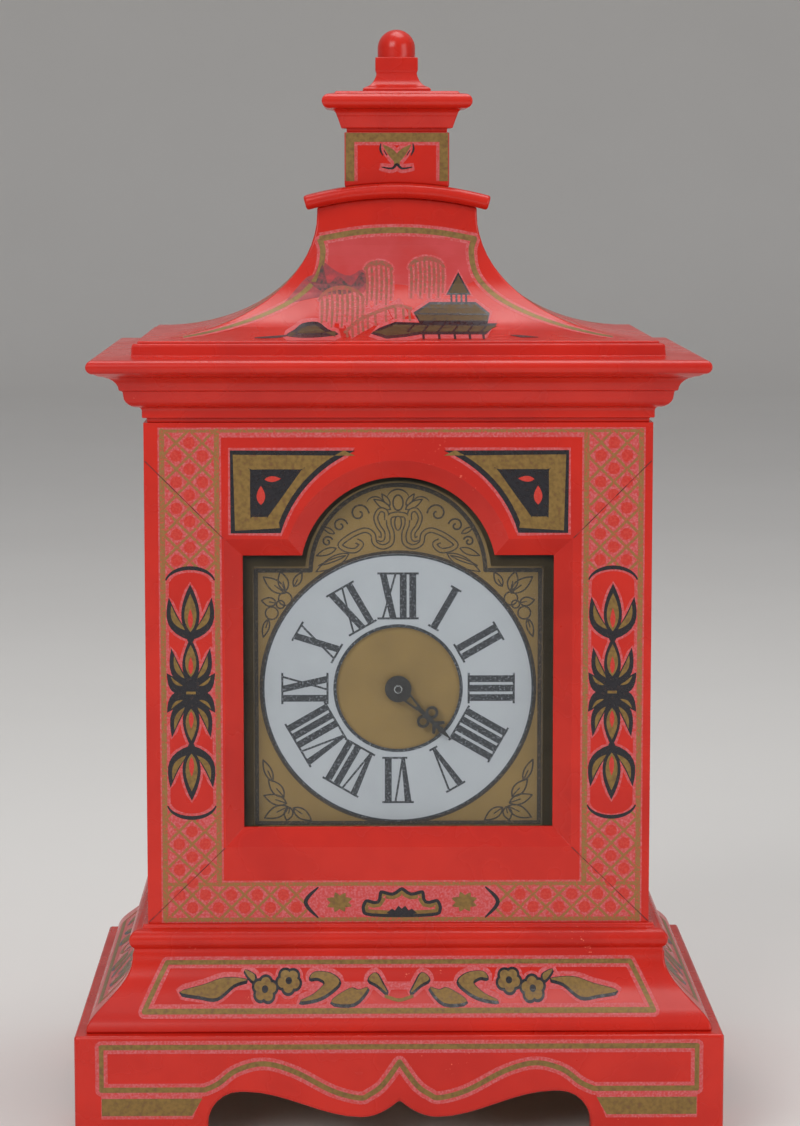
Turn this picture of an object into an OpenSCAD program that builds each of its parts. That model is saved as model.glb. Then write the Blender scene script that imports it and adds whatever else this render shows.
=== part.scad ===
// Lacquered bell-top mantel clock with a rear-wound eight-day movement.
// Frame: +X to the right, +Y to the back, +Z up; the origin is on the table under the middle of the plinth.

/* [Plinth] */
// Width of the plinth across its bracket feet
plinth_w = 190.5; // [182:0.5:200]
// Depth of the plinth from front to back
plinth_d = 138.5; // [134:0.5:150]
// Height of the bracket-foot plinth
plinth_h = 34.3; // [30:0.1:38]
// How far the plinth stands out past the case on every side
plinth_step = 20.75; // [19:0.25:22]
// Thickness of the plinth boards
apron_t = 8; // [6:0.5:10]
// Length of one bracket foot along the front
foot_len = 39; // [34:1:42]
// Height of the cove and bead between plinth and case
base_mould_h = 28.9; // [26:0.1:32]

/* [Case] */
// Height of the case between the two mouldings
case_h = 149.1; // [147:0.1:156]
// Thickness of the case sides
side_t = 8; // [6:0.5:9]
// Thickness of the front frame
front_t = 12; // [12:0.5:14]
// Thickness of the back frame and the back door
back_t = 8; // [7:0.5:9]

/* [Dial opening] */
// Width of the opening in the front frame
open_w = 91.8; // [88:0.2:94]
// Height of the opening's square part
open_h = 81.4; // [80:0.2:84]
// Height of the opening's lower edge above the bottom of the case
open_up = 28.2; // [27.6:0.2:29]
// Radius of the arch over the opening
arch_r = 29; // [27:0.5:30]
// Width of the bevel round the opening
bevel_w = 5.3; // [4:0.1:6]
// Depth of the bevel round the opening
bevel_deep = 4; // [3:0.1:4.5]
// Thickness of the glass
glass_t = 2; // [1.5:0.1:2.5]

/* [Dial] */
// Height of the hand centre above the opening's lower edge
hand_up = 40.6; // [40:0.2:42]
// Outer radius of the chapter ring
ring_r = 40.4; // [38:0.1:41.5]
// Inner radius of the chapter ring
ring_in_r = 18.5; // [16:0.5:22]
// Length of the hour hand from its centre to its tip
hand_len = 22.3; // [18:0.1:26]
// Angle of the hour hand, clockwise from twelve
hand_angle = 134; // [0:1:359]

/* [Cornice and roof] */
// Height of the cornice
cornice_h = 23.2; // [22:0.1:25]
// Height of the bell-shaped roof
roof_h = 37; // [34:0.5:40]
// Width of the roof where the ledge sits on it
roof_top_w = 48; // [44:1:54]
// Depth of the roof where the ledge sits on it
roof_top_d = 28; // [24:1:30]
// Length of the arched ledge
ledge_w = 56.4; // [54:0.2:60]
// Depth of the arched ledge
ledge_d = 36; // [32:1:38]
// Width of the lantern block
lantern_w = 31.4; // [28:0.2:34]
// Depth of the lantern block
lantern_d = 24; // [20:1:26]
// Height of the lantern block at its sides
lantern_h = 16.4; // [14:0.2:20]

/* [Movement] */
// Space between the two movement plates
plate_gap = 30; // [30:0.5:31]
// Thickness of the movement plates
plate_t = 2; // [1.5:0.1:2]
// Radial play of a shaft in its hole
play = 0.05; // [0.02:0.01:0.08]
// Share of the tooth pitch that a tooth fills
tooth_share = 0.40; // [0.34:0.01:0.42]

/* [Back door] */
// Width of the back door
door_w = 100; // [96:1:104]
// Height of the back door
door_h = 116; // [110:1:120]
// Gap round the back door
door_gap = 0.6; // [0.4:0.1:0.9]
// Radius of the hinge knuckles
knuckle_r = 1.6; // [1.4:0.1:1.8]

/* [Hidden] */

// Colours of the finishes
coral = [0.74, 0.17, 0.12];
bare_wood = [0.52, 0.36, 0.22];
ebony = [0.06, 0.05, 0.05];
brass = [0.78, 0.62, 0.30];
steel = [0.55, 0.57, 0.60];
blued = [0.08, 0.08, 0.14];
silvered = [0.86, 0.85, 0.82];

// Case box and the heights of its stages
case_w = plinth_w - 2 * plinth_step;
case_d = plinth_d - 2 * plinth_step;
case_z = plinth_h + base_mould_h;
cornice_z = case_z + case_h;
roof_z = cornice_z + cornice_h;
front_y = -case_d / 2;
frame_back_y = front_y + front_t;
back_y = case_d / 2;
back_frame_y = back_y - back_t;
ring_inner = 10;
long = 400;
smooth = 72;

// Dial opening
open_z = case_z + open_up;
shoulder_z = open_z + open_h;
arch_z = shoulder_z - 5.9;
hand_z = open_z + hand_up;
rebate = 4;
rebate_y = front_y + bevel_deep + 1;
mask_y = rebate_y + glass_t;
dial_y = frame_back_y;
dial_t = 1.2;
dial_lap = 4;
fit_gap = 0.4;

// ---- Shared shapes ----

// Upright sheet: an x-z outline between depth y and depth y + t
module slab(y, t) {
    translate([0, y + t, 0]) rotate([90, 0, 0]) linear_extrude(height = t) children();
}

// Round rod along the depth, centred on x and z
module rod(x, z, y0, y1, r) {
    translate([x, y1, z]) rotate([90, 0, 0]) cylinder(h = y1 - y0, r = r, $fn = smooth);
}

// Prism along X with a y-z section
module run_x(length) {
    rotate([90, 0, 90]) translate([0, 0, -length / 2]) linear_extrude(height = length) children();
}

// Points along part of an ellipse
function arc(cx, cy, rx, ry, a0, a1, n = 8) =
    [for (i = [0:n]) let (a = a0 + (a1 - a0) * i / n) [cx + rx * cos(a), cy + ry * sin(a)]];

function ease(t) = t * t * (3 - 2 * t);

// A half outline on the right, [x, z] from bottom to top, with its mirror image on the left
function both_sides(half) = concat(half, [for (i = [len(half) - 1:-1:0]) [-half[i][0], half[i][1]]]);

// One mitred length of moulding on the -Y side; the section gives [outward, z] from the case face
module mitred_run(section, half_along, half_across, out, inner) {
    intersection() {
        run_x(2 * (half_along + out) + 2)
            polygon([for (p = section) [-(half_across + p[0]), p[1]]]);
        linear_extrude(height = long)
            polygon([[-(half_along + out), -(half_across + out)], [half_along + out, -(half_across + out)],
                     [half_along - inner, -(half_across - inner)],
                     [-(half_along - inner), -(half_across - inner)]]);
    }
}

module front_run(section, out) {
    mitred_run(section, case_w / 2, case_d / 2, out, ring_inner);
}

module side_runs(section, out) {
    for (turn = [-90, 90])
        rotate([0, 0, turn]) mitred_run(section, case_d / 2, case_w / 2, out, ring_inner);
}

// ---- Plinth ----

// Wavy lower edge of the front and back boards, right half, as [share of the span, z]
wave_span = 56.3;
wave_edge = concat(
    [[0, 14.6]],
    [for (i = [1:6]) let (t = i / 6) [11.2 * t, 9.5 + 5.1 * pow(1 - t, 2)]],
    [for (i = [1:8]) let (t = i / 8) [11.2 + 34 * t, 9.5 + 7.8 * ease(t)]],
    arc(47, 7.5, wave_span - 47, 9.8, 90, 0, 6)
);
// Plain arched edge of the side boards, right half
side_span = 32;
side_edge = arc(0, 0, side_span, 15, 90, 0, 10);

// One mitred plinth board on the -Y side, with its lower edge stretched to leave the feet
module plinth_side(half_len, half_across, edge, span) {
    stretch = (half_len - foot_len) / span;
    right = [for (p = edge) [p[0] * stretch, p[1]]];
    last = len(right) - 1;
    difference() {
        intersection() {
            translate([-half_len, -half_across, 0]) cube([2 * half_len, apron_t, plinth_h]);
            linear_extrude(height = long)
                polygon([[-half_len, -half_across], [half_len, -half_across],
                         [half_len - apron_t, -half_across + apron_t],
                         [-half_len + apron_t, -half_across + apron_t]]);
        }
        slab(-half_across - 1, apron_t + 2)
            polygon(concat(right, [[right[last][0], -1], [-right[last][0], -1]],
                           [for (i = [last:-1:1]) [-right[i][0], right[i][1]]]));
    }
}

module apron_front() {
    color(coral) plinth_side(plinth_w / 2, plinth_d / 2, wave_edge, wave_span);
}

module apron_back() {
    color(coral) rotate([0, 0, 180]) plinth_side(plinth_w / 2, plinth_d / 2, wave_edge, wave_span);
}

module apron_sides() {
    color(coral)
        for (turn = [-90, 90])
            rotate([0, 0, turn]) plinth_side(plinth_d / 2, plinth_w / 2, side_edge, side_span);
}

block = 16;
plinth_board_t = 8;
block_h = plinth_h - plinth_board_t;

module foot_blocks() {
    mid_x = plinth_w / 2 - apron_t - block / 2;
    mid_y = plinth_d / 2 - apron_t - block / 2;
    color(bare_wood)
        for (sx = [-1, 1], sy = [-1, 1])
            translate([sx * mid_x, sy * mid_y, block_h / 2]) cube([block, block, block_h], center = true);
}

module plinth_board() {
    color(bare_wood)
        translate([-plinth_w / 2 + apron_t, -plinth_d / 2 + apron_t, block_h])
            cube([plinth_w - 2 * apron_t, plinth_d - 2 * apron_t, plinth_board_t]);
}

// Ogee cove, bead and fillet between the plinth and the case, as [outward, z]
cove_top = base_mould_h - 8.2;
base_out = plinth_step - 3.4;
cove_lip = 0.8;
bead_r = 3.1;
base_section = concat(
    [[-ring_inner, plinth_h], [base_out, plinth_h]],
    [for (i = [0:16])
        let (t = 1 - i / 16)
        [4.4 + (base_out - 4.4) * ease(pow(t, 1.35)), plinth_h + cove_lip + (cove_top - cove_lip) * (1 - t)]],
    arc(2.3, plinth_h + cove_top + 0.9 + bead_r, bead_r, bead_r, -60, 90, 12),
    [[1.5, plinth_h + cove_top + 0.9 + 2 * bead_r], [1.5, case_z], [-ring_inner, case_z]]
);

module base_moulding_front() {
    color(coral) front_run(base_section, base_out);
}

module base_moulding_back() {
    color(coral) rotate([0, 0, 180]) front_run(base_section, base_out);
}

module base_moulding_sides() {
    color(coral) side_runs(base_section, base_out);
}

floor_t = 8;

module case_floor() {
    color(bare_wood)
        translate([-case_w / 2 + ring_inner, -case_d / 2 + ring_inner, case_z - floor_t])
            cube([case_w - 2 * ring_inner, case_d - 2 * ring_inner, floor_t]);
}

// ---- Case ----

module case_sides() {
    color(coral)
        for (x = [-case_w / 2, case_w / 2 - side_t])
            translate([x, frame_back_y, case_z]) cube([side_t, back_frame_y - frame_back_y, case_h]);
}

module case_top_board() {
    color(bare_wood)
        translate([-case_w / 2 + side_t, frame_back_y, cornice_z - floor_t])
            cube([case_w - 2 * side_t, back_frame_y - frame_back_y, floor_t]);
}

// Break-arch outline, grown outwards by g
module arch_outline(g) {
    translate([-open_w / 2 - g, open_z - g]) square([open_w + 2 * g, open_h + 2 * g]);
    translate([0, arch_z]) circle(r = arch_r + g, $fn = 96);
}

// Cutter for the bevel: a flared block over the opening's square part and a cone over its arch
bevel_flare = bevel_w * (1 + 1 / bevel_deep);

module bevel_cut() {
    outer_x = open_w / 2 + bevel_flare;
    near_y = front_y - 1;
    deep_y = front_y + bevel_deep;
    intersection() {
        linear_extrude(height = long)
            polygon([[-outer_x, near_y], [outer_x, near_y], [open_w / 2, deep_y], [-open_w / 2, deep_y]]);
        run_x(long)
            polygon([[near_y, open_z - bevel_flare], [deep_y, open_z],
                     [deep_y, shoulder_z], [near_y, shoulder_z + bevel_flare]]);
    }
    translate([0, deep_y, arch_z]) rotate([90, 0, 0])
        cylinder(h = bevel_deep + 1, r1 = arch_r, r2 = arch_r + bevel_flare, $fn = 96);
}

mitre_z = open_up + open_h;

// Outline of one stile, with mitres to the case's lower corner and up at 45 degrees from the opening
module stile_outline() {
    intersection() {
        square([case_w / 2, case_h]);
        polygon([[case_w / 2, 0], [open_w / 2, open_up], [open_w / 2, mitre_z],
                 [open_w / 2 + case_h, mitre_z + case_h], [case_w / 2 + case_h, 0]]);
    }
}

screw_r = 1;
dial_screw_x = open_w / 2 + 6;
dial_screw_z = [open_z - 2, shoulder_z + 1];
dial_screw_deep = 7;

// Front frame, cut to one piece's outline
module frame_piece() {
    difference() {
        slab(front_y, front_t) translate([0, case_z]) children();
        slab(front_y - 1, front_t + 2) arch_outline(0);
        slab(rebate_y, front_t) arch_outline(rebate);
        bevel_cut();
        for (s = [-1, 1], z = dial_screw_z)
            rod(s * dial_screw_x, z, dial_y - dial_screw_deep, dial_y + 1, screw_r);
    }
}

module front_stiles() {
    color(coral) {
        frame_piece() stile_outline();
        frame_piece() mirror([1, 0]) stile_outline();
    }
}

module front_rail_bottom() {
    color(coral)
        frame_piece()
            polygon([[-case_w / 2, 0], [case_w / 2, 0], [open_w / 2, open_up], [-open_w / 2, open_up]]);
}

module front_rail_top() {
    color(coral)
        frame_piece()
            difference() {
                translate([-case_w / 2, mitre_z]) square([case_w, case_h - mitre_z]);
                stile_outline();
                mirror([1, 0]) stile_outline();
            }
}

// Back frame round the door, with the holes for its screws
door_z = case_z + (case_h - door_h) / 2 - 2;
stile_w = case_w / 2 - door_w / 2 - door_gap;
hinge_x = door_w / 2 + door_gap / 2;
leaf_w = 9;
leaf_h = 18;
leaf_t = 1;
hinge_z = [door_z + 18, door_z + door_h - 18];
hinge_screw_x = 0.8 + leaf_w * 0.6;
hinge_screw_z = [for (zc = hinge_z, s = [-1, 1]) zc + s * 6];
hinge_screw_r = 0.9;
wood_screw_deep = 6;
button_x = -door_w / 2 - 7;
button_z = door_z + door_h / 2;
button_r = 1;

module back_frame() {
    rail_w = case_w - 2 * stile_w;
    low_h = door_z - door_gap - case_z;
    high_z = door_z + door_h + door_gap;
    color(coral) {
        difference() {
            for (x = [-case_w / 2, case_w / 2 - stile_w])
                translate([x, back_frame_y, case_z]) cube([stile_w, back_t, case_h]);
            for (z = hinge_screw_z)
                rod(hinge_x + hinge_screw_x, z, back_y - wood_screw_deep, back_y + 1, hinge_screw_r);
            rod(button_x, button_z, back_y - wood_screw_deep, back_y + 1, button_r);
        }
        translate([-rail_w / 2, back_frame_y, case_z]) cube([rail_w, back_t, low_h]);
        translate([-rail_w / 2, back_frame_y, high_z]) cube([rail_w, back_t, cornice_z - high_z]);
    }
}

// ---- Cornice ----

// Shadow groove, fascia, ovolo, cove, bead and top step, as [outward, z]
cornice_out = 15.5;
tip_r = 2.05;
tip_z = cornice_z + 17;
cornice_section = concat(
    [[-ring_inner, cornice_z], [-1, cornice_z], [-1, cornice_z + 1.4]],
    [[0.4, cornice_z + 1.4], [0.4, cornice_z + 3.8]],
    arc(1, cornice_z + 8.2, 4.4, 3.6, -90, 0, 6),
    [[5.6, cornice_z + 9.6]],
    arc(13.4, cornice_z + 9.8, 6.8, 4.6, 180, 100, 6),
    arc(cornice_out - tip_r, tip_z, tip_r, tip_r, -90, 90, 10),
    [[3.2, tip_z + tip_r + 0.5], [3, roof_z - 0.5], [2.5, roof_z], [-ring_inner, roof_z]]
);

module cornice_front() {
    color(coral) front_run(cornice_section, cornice_out);
}

module cornice_back() {
    color(coral) rotate([0, 0, 180]) front_run(cornice_section, cornice_out);
}

module cornice_sides() {
    color(coral) side_runs(cornice_section, cornice_out);
}

// ---- Bell-shaped roof ----

roof_foot_x = case_w / 2 + 1.5;
roof_foot_d = case_d / 2 + 1.5;
roof_lip = 0.7;
roof_top_z = roof_z + roof_h;
ledge_r = 101.4;
ledge_t = 4.4;
arch_rise = 4.7;
ledge_axis_z = roof_top_z + arch_rise - ledge_r;
roof_wall = 6;
core_x = roof_top_w / 2 - roof_wall;
hip_slope = (roof_foot_d - roof_top_d / 2) / (roof_foot_x - roof_top_w / 2);
core_d = roof_top_d / 2 - roof_wall * hip_slope;

// Hollow bell curve from the ledge down to the foot, with a straight inner face, as [half width, z]
function bell(top, foot, core) = concat(
    [[core, roof_z], [core, roof_top_z + arch_rise], [top, roof_top_z + arch_rise]],
    [for (i = [0:18])
        let (a = 90 * i / 18)
        [top + (foot - top) * (1 - cos(a)), roof_top_z - (roof_h - roof_lip) * sin(a)]],
    [[foot, roof_z]]
);

// One mitred roof piece on the -Y side
module roof_piece(top, foot, core, top_along, foot_along) {
    lean = (foot_along - top_along) / (foot - top);
    outer = foot + 1;
    inner = core - 1;
    outer_half = top_along + (outer - top) * lean;
    inner_half = top_along + (inner - top) * lean;
    intersection() {
        run_x(long) polygon([for (p = bell(top, foot, core)) [-p[0], p[1]]]);
        linear_extrude(height = long)
            polygon([[-outer_half, -outer], [outer_half, -outer],
                     [inner_half, -inner], [-inner_half, -inner]]);
    }
}

// Trims only what rises above the roof's own height to the underside of the arched ledge
module under_ledge() {
    intersection() {
        children();
        union() {
            rod(0, ledge_axis_z, -plinth_d, plinth_d, ledge_r);
            translate([-long / 2, -long / 2, 0]) cube([long, long, roof_top_z]);
        }
    }
}

module roof_long_piece() {
    under_ledge()
        roof_piece(roof_top_d / 2, roof_foot_d, core_d, roof_top_w / 2, roof_foot_x);
}

module roof_front() {
    color(coral) roof_long_piece();
}

module roof_back() {
    color(coral) rotate([0, 0, 180]) roof_long_piece();
}

module roof_sides() {
    color(coral)
        under_ledge()
            for (turn = [-90, 90])
                rotate([0, 0, turn])
                    roof_piece(roof_top_w / 2, roof_foot_x, core_x, roof_top_d / 2, roof_foot_d);
}

// Arched ledge with round front and back edges
module roof_ledge() {
    sweep = 2 * asin(ledge_w / 2 / (ledge_r + ledge_t));
    nose = ledge_t / 2;
    color(coral)
        translate([0, 0, ledge_axis_z]) rotate([90, 0, 0])
            rotate([0, 0, 90 - sweep / 2])
                rotate_extrude(angle = sweep, $fn = 180)
                    union() {
                        translate([ledge_r, -ledge_d / 2 + nose]) square([ledge_t, ledge_d - 2 * nose]);
                        for (s = [-1, 1])
                            translate([ledge_r + nose, s * (ledge_d / 2 - nose)]) circle(r = nose, $fn = 24);
                    }
}

lantern_z = roof_top_z + arch_rise + ledge_t - 1.2;
lantern_top = lantern_z + lantern_h;

module lantern_block() {
    color(coral)
        difference() {
            translate([-lantern_w / 2, -lantern_d / 2, lantern_z - 1])
                cube([lantern_w, lantern_d, lantern_h + 1]);
            rod(0, ledge_axis_z, -plinth_d, plinth_d, ledge_r + ledge_t);
        }
}

// Cap moulding above the lantern's face, as [outward, height]
cap_h = 12.2;
cap_out = 6.8;
cap_roll_r = 2.2;
cap_section = concat(
    [[-0.6, 0], [-0.6, 1.2], [1, 1.2], [2.2, 4.7]],
    arc(cap_out - cap_roll_r, 4.9, 2.2, 2.1, 180, 100, 5),
    arc(cap_out - cap_roll_r, 9.2, cap_roll_r, cap_roll_r, -90, 90, 10),
    [[3, 11.6], [2.6, cap_h]]
);

tenon_r = 3;
tenon_deep = 5;

module cap_run(half_across, length) {
    run_x(length) polygon(both_sides([for (p = cap_section) [half_across + p[0], p[1]]]));
}

module lantern_cap() {
    color(coral)
        translate([0, 0, lantern_top])
            difference() {
                intersection() {
                    cap_run(lantern_d / 2, lantern_w + 3 * cap_out);
                    rotate([0, 0, 90]) cap_run(lantern_w / 2, lantern_d + 3 * cap_out);
                }
                translate([0, 0, cap_h - tenon_deep]) cylinder(h = tenon_deep + 1, r = tenon_r, $fn = smooth);
            }
}

// Square flared foot, collar and dome
finial_z = lantern_top + cap_h;

module finial() {
    dome_r = 5.7;
    color(coral)
        translate([0, 0, finial_z]) {
            translate([0, 0, -tenon_deep]) cylinder(h = tenon_deep + 1, r = tenon_r, $fn = smooth);
            intersection() {
                run_x(30) finial_outline();
                rotate([0, 0, 90]) run_x(30) finial_outline();
            }
            translate([0, 0, 10]) cylinder(h = 3, r = dome_r, $fn = smooth);
            translate([0, 0, 13]) sphere(r = dome_r, $fn = smooth);
        }
}

module finial_outline() {
    polygon(both_sides(concat([[10.2, 0], [10.2, 0.8]], arc(10.2, 6.4, 4.2, 5.2, -100, -170, 6),
                              [[6.4, 6.4], [6.4, 10.2]])));
}

// ---- Glass and dial ----

module glass_pane() {
    color([0.8, 0.88, 0.9, 0.35])
        slab(rebate_y, glass_t) arch_outline(rebate - fit_gap);
}

mask_in = 2.9;
mask_drop = 1.2;

module dial_mask() {
    color(ebony)
        slab(mask_y, dial_y - mask_y)
            difference() {
                arch_outline(rebate - fit_gap);
                intersection() {
                    translate([-open_w / 2 + mask_in, open_z - mask_drop])
                        square([open_w - 2 * mask_in, long]);
                    union() {
                        translate([-open_w / 2, open_z - mask_drop]) square([open_w, open_h - mask_in + 0.5]);
                        translate([0, arch_z]) circle(r = arch_r - mask_in / 2, $fn = 96);
                    }
                }
            }
}

pillar_at = [[-34, -44], [36, -44], [-32, 40], [34, 40]];
pillar_r = 2.5;
pillar_end_r = 1.2;
pipe_hole_r = 2.7;
plate_y = dial_y + dial_t + 7;
rear_plate_y = plate_y + plate_t + plate_gap;

module dial_plate() {
    color(brass)
        difference() {
            slab(dial_y, dial_t) arch_outline(rebate + dial_lap);
            rod(0, hand_z, dial_y - 1, dial_y + dial_t + 1, pipe_hole_r);
            for (s = [-1, 1], z = dial_screw_z)
                rod(s * dial_screw_x, z, dial_y - 1, dial_y + dial_t + 1, screw_r);
        }
}

ring_t = 0.8;

module chapter_ring() {
    color(silvered)
        difference() {
            rod(0, hand_z, dial_y - ring_t, dial_y, ring_r);
            rod(0, hand_z, dial_y - ring_t - 1, dial_y + 1, ring_in_r);
        }
}

module dial_feet() {
    color(brass)
        for (p = pillar_at)
            difference() {
                rod(p[0], hand_z + p[1], dial_y + dial_t, plate_y, pillar_r);
                rod(p[0], hand_z + p[1], plate_y - 4, plate_y + 1, pillar_end_r);
            }
}

module dial_screws() {
    color(steel)
        for (s = [-1, 1], z = dial_screw_z) {
            rod(s * dial_screw_x, z, dial_y - dial_screw_deep, dial_y + dial_t + 0.5, screw_r);
            difference() {
                rod(s * dial_screw_x, z, dial_y + dial_t, dial_y + dial_t + 1.2, 1.9);
                translate([s * dial_screw_x - 3, dial_y + dial_t + 0.8, z - 0.25]) cube([6, 1, 0.5]);
            }
        }
}

hand_y = dial_y - 2.4;
hand_t = 0.6;
hour_pipe_r = 2.2;
cannon_r = 1.2;

// Hour hand drawn pointing to twelve: ringed stem, two loops and a spear tip
module hand_outline() {
    difference() {
        circle(r = 3.95, $fn = smooth);
        circle(r = hour_pipe_r, $fn = smooth);
    }
    difference() {
        polygon([[-1.5, 3.4], [1.5, 3.4], [0.8, 8.6], [-0.8, 8.6]]);
        polygon([[-0.9, 4.2], [0.9, 4.2], [0.3, 7.6], [-0.3, 7.6]]);
    }
    translate([-0.6, 8]) square([1.2, hand_len - 12]);
    for (s = [-1, 1])
        translate([s * 1.9, 12.2])
            difference() {
                circle(r = 1.9, $fn = 32);
                circle(r = 1.1, $fn = 32);
            }
    polygon([[0, 14.2], [2.6, 16.6], [2.2, 17.3], [0, 15.9], [-2.2, 17.3], [-2.6, 16.6]]);
    polygon([[-0.9, hand_len - 5], [0.9, hand_len - 5], [0, hand_len]]);
}

module hour_hand() {
    color(blued)
        translate([0, 0, hand_z]) rotate([0, hand_angle, 0])
            slab(hand_y, hand_t) hand_outline();
}

// ---- Movement: layout of the arbors from the hand centre, as [x, z] ----

function polar(r, a) = [r * cos(a), r * sin(a)];

barrel_m = 0.7;
inter_m = 0.6;
centre_m = 0.55;
third_m = 0.5;
fourth_m = 0.45;
barrel_teeth = 72;
inter_pinion = 12;
inter_teeth = 60;
centre_pinion = 12;
centre_teeth = 64;
small_pinion = 8;
third_teeth = 60;
fourth_teeth = 64;
cannon_teeth = 12;
minute_teeth = 36;
minute_pinion = 10;
hour_teeth = 40;
minute_m = 0.5;
hour_m = minute_m * (cannon_teeth + minute_teeth) / (minute_pinion + hour_teeth);

barrel_below = 34;
d_bi = barrel_m * (barrel_teeth + inter_pinion) / 2;
d_ic = inter_m * (inter_teeth + centre_pinion) / 2;
d_ct = centre_m * (centre_teeth + small_pinion) / 2;
d_tf = third_m * (third_teeth + small_pinion) / 2;
d_fe = fourth_m * (fourth_teeth + small_pinion) / 2;
d_cm = minute_m * (cannon_teeth + minute_teeth) / 2;
inter_lean = acos((barrel_below * barrel_below + d_ic * d_ic - d_bi * d_bi) / (2 * barrel_below * d_ic));

centre_at = [0, 0];
barrel_at = [0, -barrel_below];
inter_at = polar(d_ic, -90 + inter_lean);
third_at = polar(d_ct, 150);
fourth_at = third_at + polar(d_tf, 80);
escape_at = fourth_at + polar(d_fe, 0);
lever_at = escape_at + [10.5, 0];
balance_at = lever_at + [12, 0];
minute_at = polar(d_cm, 225);

// Depths of the train's layers behind the front plate's rear face
gap_y = plate_y + plate_t;

function dir(a, b) = atan2(b[1] - a[1], b[0] - a[0]);

// Angle of a tooth on the second gear so that it meshes with the first
function mate(phase, n_a, n_b, line) = line + 180 + (line - phase) * n_a / n_b + 180 / n_b;

// Involute tooth outline, as [radius, half angle] pairs from root to tip
press_angle = 25;
tip_share = 0.65;
root_share = 0.95;
function involute(a) = tan(a) * 180 / PI - a;
function half_angle(n, m, r) =
    let (rp = n * m / 2, rb = rp * cos(press_angle), x = max(r, rb))
    180 / n * tooth_share + involute(press_angle) - involute(acos(rb / x));
function gear_radii(n, m) =
    let (rp = n * m / 2)
    n > 20 ? [rp - root_share * m, rp + tip_share * m]
           : [rp - root_share * m, rp * cos(press_angle), rp, rp + tip_share * m];
function gear_points(n, m, phase) =
    [for (i = [0:n - 1])
        let (a = phase + i * 360 / n, rs = gear_radii(n, m))
        each concat(
            [for (r = rs) polar(r, a - half_angle(n, m, r))],
            [for (j = [len(rs) - 1:-1:0]) polar(rs[j], a + half_angle(n, m, rs[j]))])];

// Toothed disc; y is counted from the front of the gap between the plates
module toothed(at, y, t, n, m, phase) {
    translate([at[0], 0, hand_z + at[1]])
        slab(gap_y + y, t) polygon(gear_points(n, m, phase));
}

// Disc wheel with four spoke windows and its teeth
module spoked(at, y, t, n, m, phase) {
    r_in = n * m / 2 - root_share * m - 1.6;
    hub = max(2.6, n * m * 0.07);
    difference() {
        toothed(at, y, t, n, m, phase);
        translate([at[0], 0, hand_z + at[1]])
            slab(gap_y + y - 1, t + 2)
                difference() {
                    circle(r = r_in, $fn = smooth);
                    circle(r = hub, $fn = smooth);
                    for (a = [0, 90]) rotate(a) square([2 * n * m, 2], center = true);
                }
    }
}

arbor_r = 1.2;
pivot_r = 0.8;
shoulder = 0.4;

// Arbor between the plates with a pivot in each plate
module arbor(at) {
    rod(at[0], hand_z + at[1], gap_y + shoulder, gap_y + plate_gap - shoulder, arbor_r);
    rod(at[0], hand_z + at[1], plate_y, rear_plate_y + plate_t, pivot_r);
}

function gear_phase_inter() = mate(0, barrel_teeth, inter_pinion, dir(barrel_at, inter_at));
function gear_phase_centre() = mate(0, inter_teeth, centre_pinion, dir(inter_at, centre_at));
function gear_phase_third() = mate(0, centre_teeth, small_pinion, dir(centre_at, third_at));
function gear_phase_fourth() = mate(0, third_teeth, small_pinion, dir(third_at, fourth_at));
function gear_phase_escape() = mate(0, fourth_teeth, small_pinion, dir(fourth_at, escape_at));

// Layer depths, counted from the front of the gap
y_inter = 1.8;
y_escape = 4.5;
y_drum = 6;
drum_len = 16;
y_fourth = 9;
y_third = 17;
y_flange = y_drum + drum_len;
y_centre = 26.5;
wheel_t = 1.5;

pivots = [inter_at, third_at, fourth_at, escape_at, lever_at, balance_at];
centre_arbor_r = 1;
barrel_arbor_r = 2.5;

module plate_outline() {
    translate([-38, hand_z - 62]) square([78, 106]);
}

module plate_holes(y) {
    for (p = pivots) rod(p[0], hand_z + p[1], y - 1, y + plate_t + 1, pivot_r + play);
    for (p = pillar_at) rod(p[0], hand_z + p[1], y - 1, y + plate_t + 1, pillar_end_r);
    rod(0, hand_z, y - 1, y + plate_t + 1, centre_arbor_r + play);
    rod(barrel_at[0], hand_z + barrel_at[1], y - 1, y + plate_t + 1, barrel_arbor_r + play);
}

stud_r = 0.9;
stud_front = 6.4;

// Front plate with the stud that carries the minute wheel
module front_plate() {
    color(brass) {
        difference() {
            slab(plate_y, plate_t) plate_outline();
            plate_holes(plate_y);
        }
        rod(minute_at[0], hand_z + minute_at[1], plate_y - stud_front, plate_y + 0.5, stud_r);
    }
}

click_at = barrel_at + [-0.2, 15];
click_stud_r = 1;
ratchet_y = rear_plate_y + plate_t + 0.5;
ratchet_t = 1.6;

// Rear plate with the stud that carries the click
module rear_plate() {
    color(brass) {
        difference() {
            slab(rear_plate_y, plate_t) plate_outline();
            plate_holes(rear_plate_y);
        }
        rod(click_at[0], hand_z + click_at[1], rear_plate_y + plate_t - 0.5,
            ratchet_y + ratchet_t + 0.8, click_stud_r);
    }
}

module pillars() {
    color(brass)
        for (p = pillar_at) {
            rod(p[0], hand_z + p[1], gap_y, rear_plate_y, pillar_r);
            rod(p[0], hand_z + p[1], plate_y - 4, rear_plate_y + plate_t + 3, pillar_end_r);
            rod(p[0], hand_z + p[1], rear_plate_y + plate_t, rear_plate_y + plate_t + 1.8, pillar_r);
        }
}

drum_r = 23;
drum_wall = 1.5;

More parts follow.
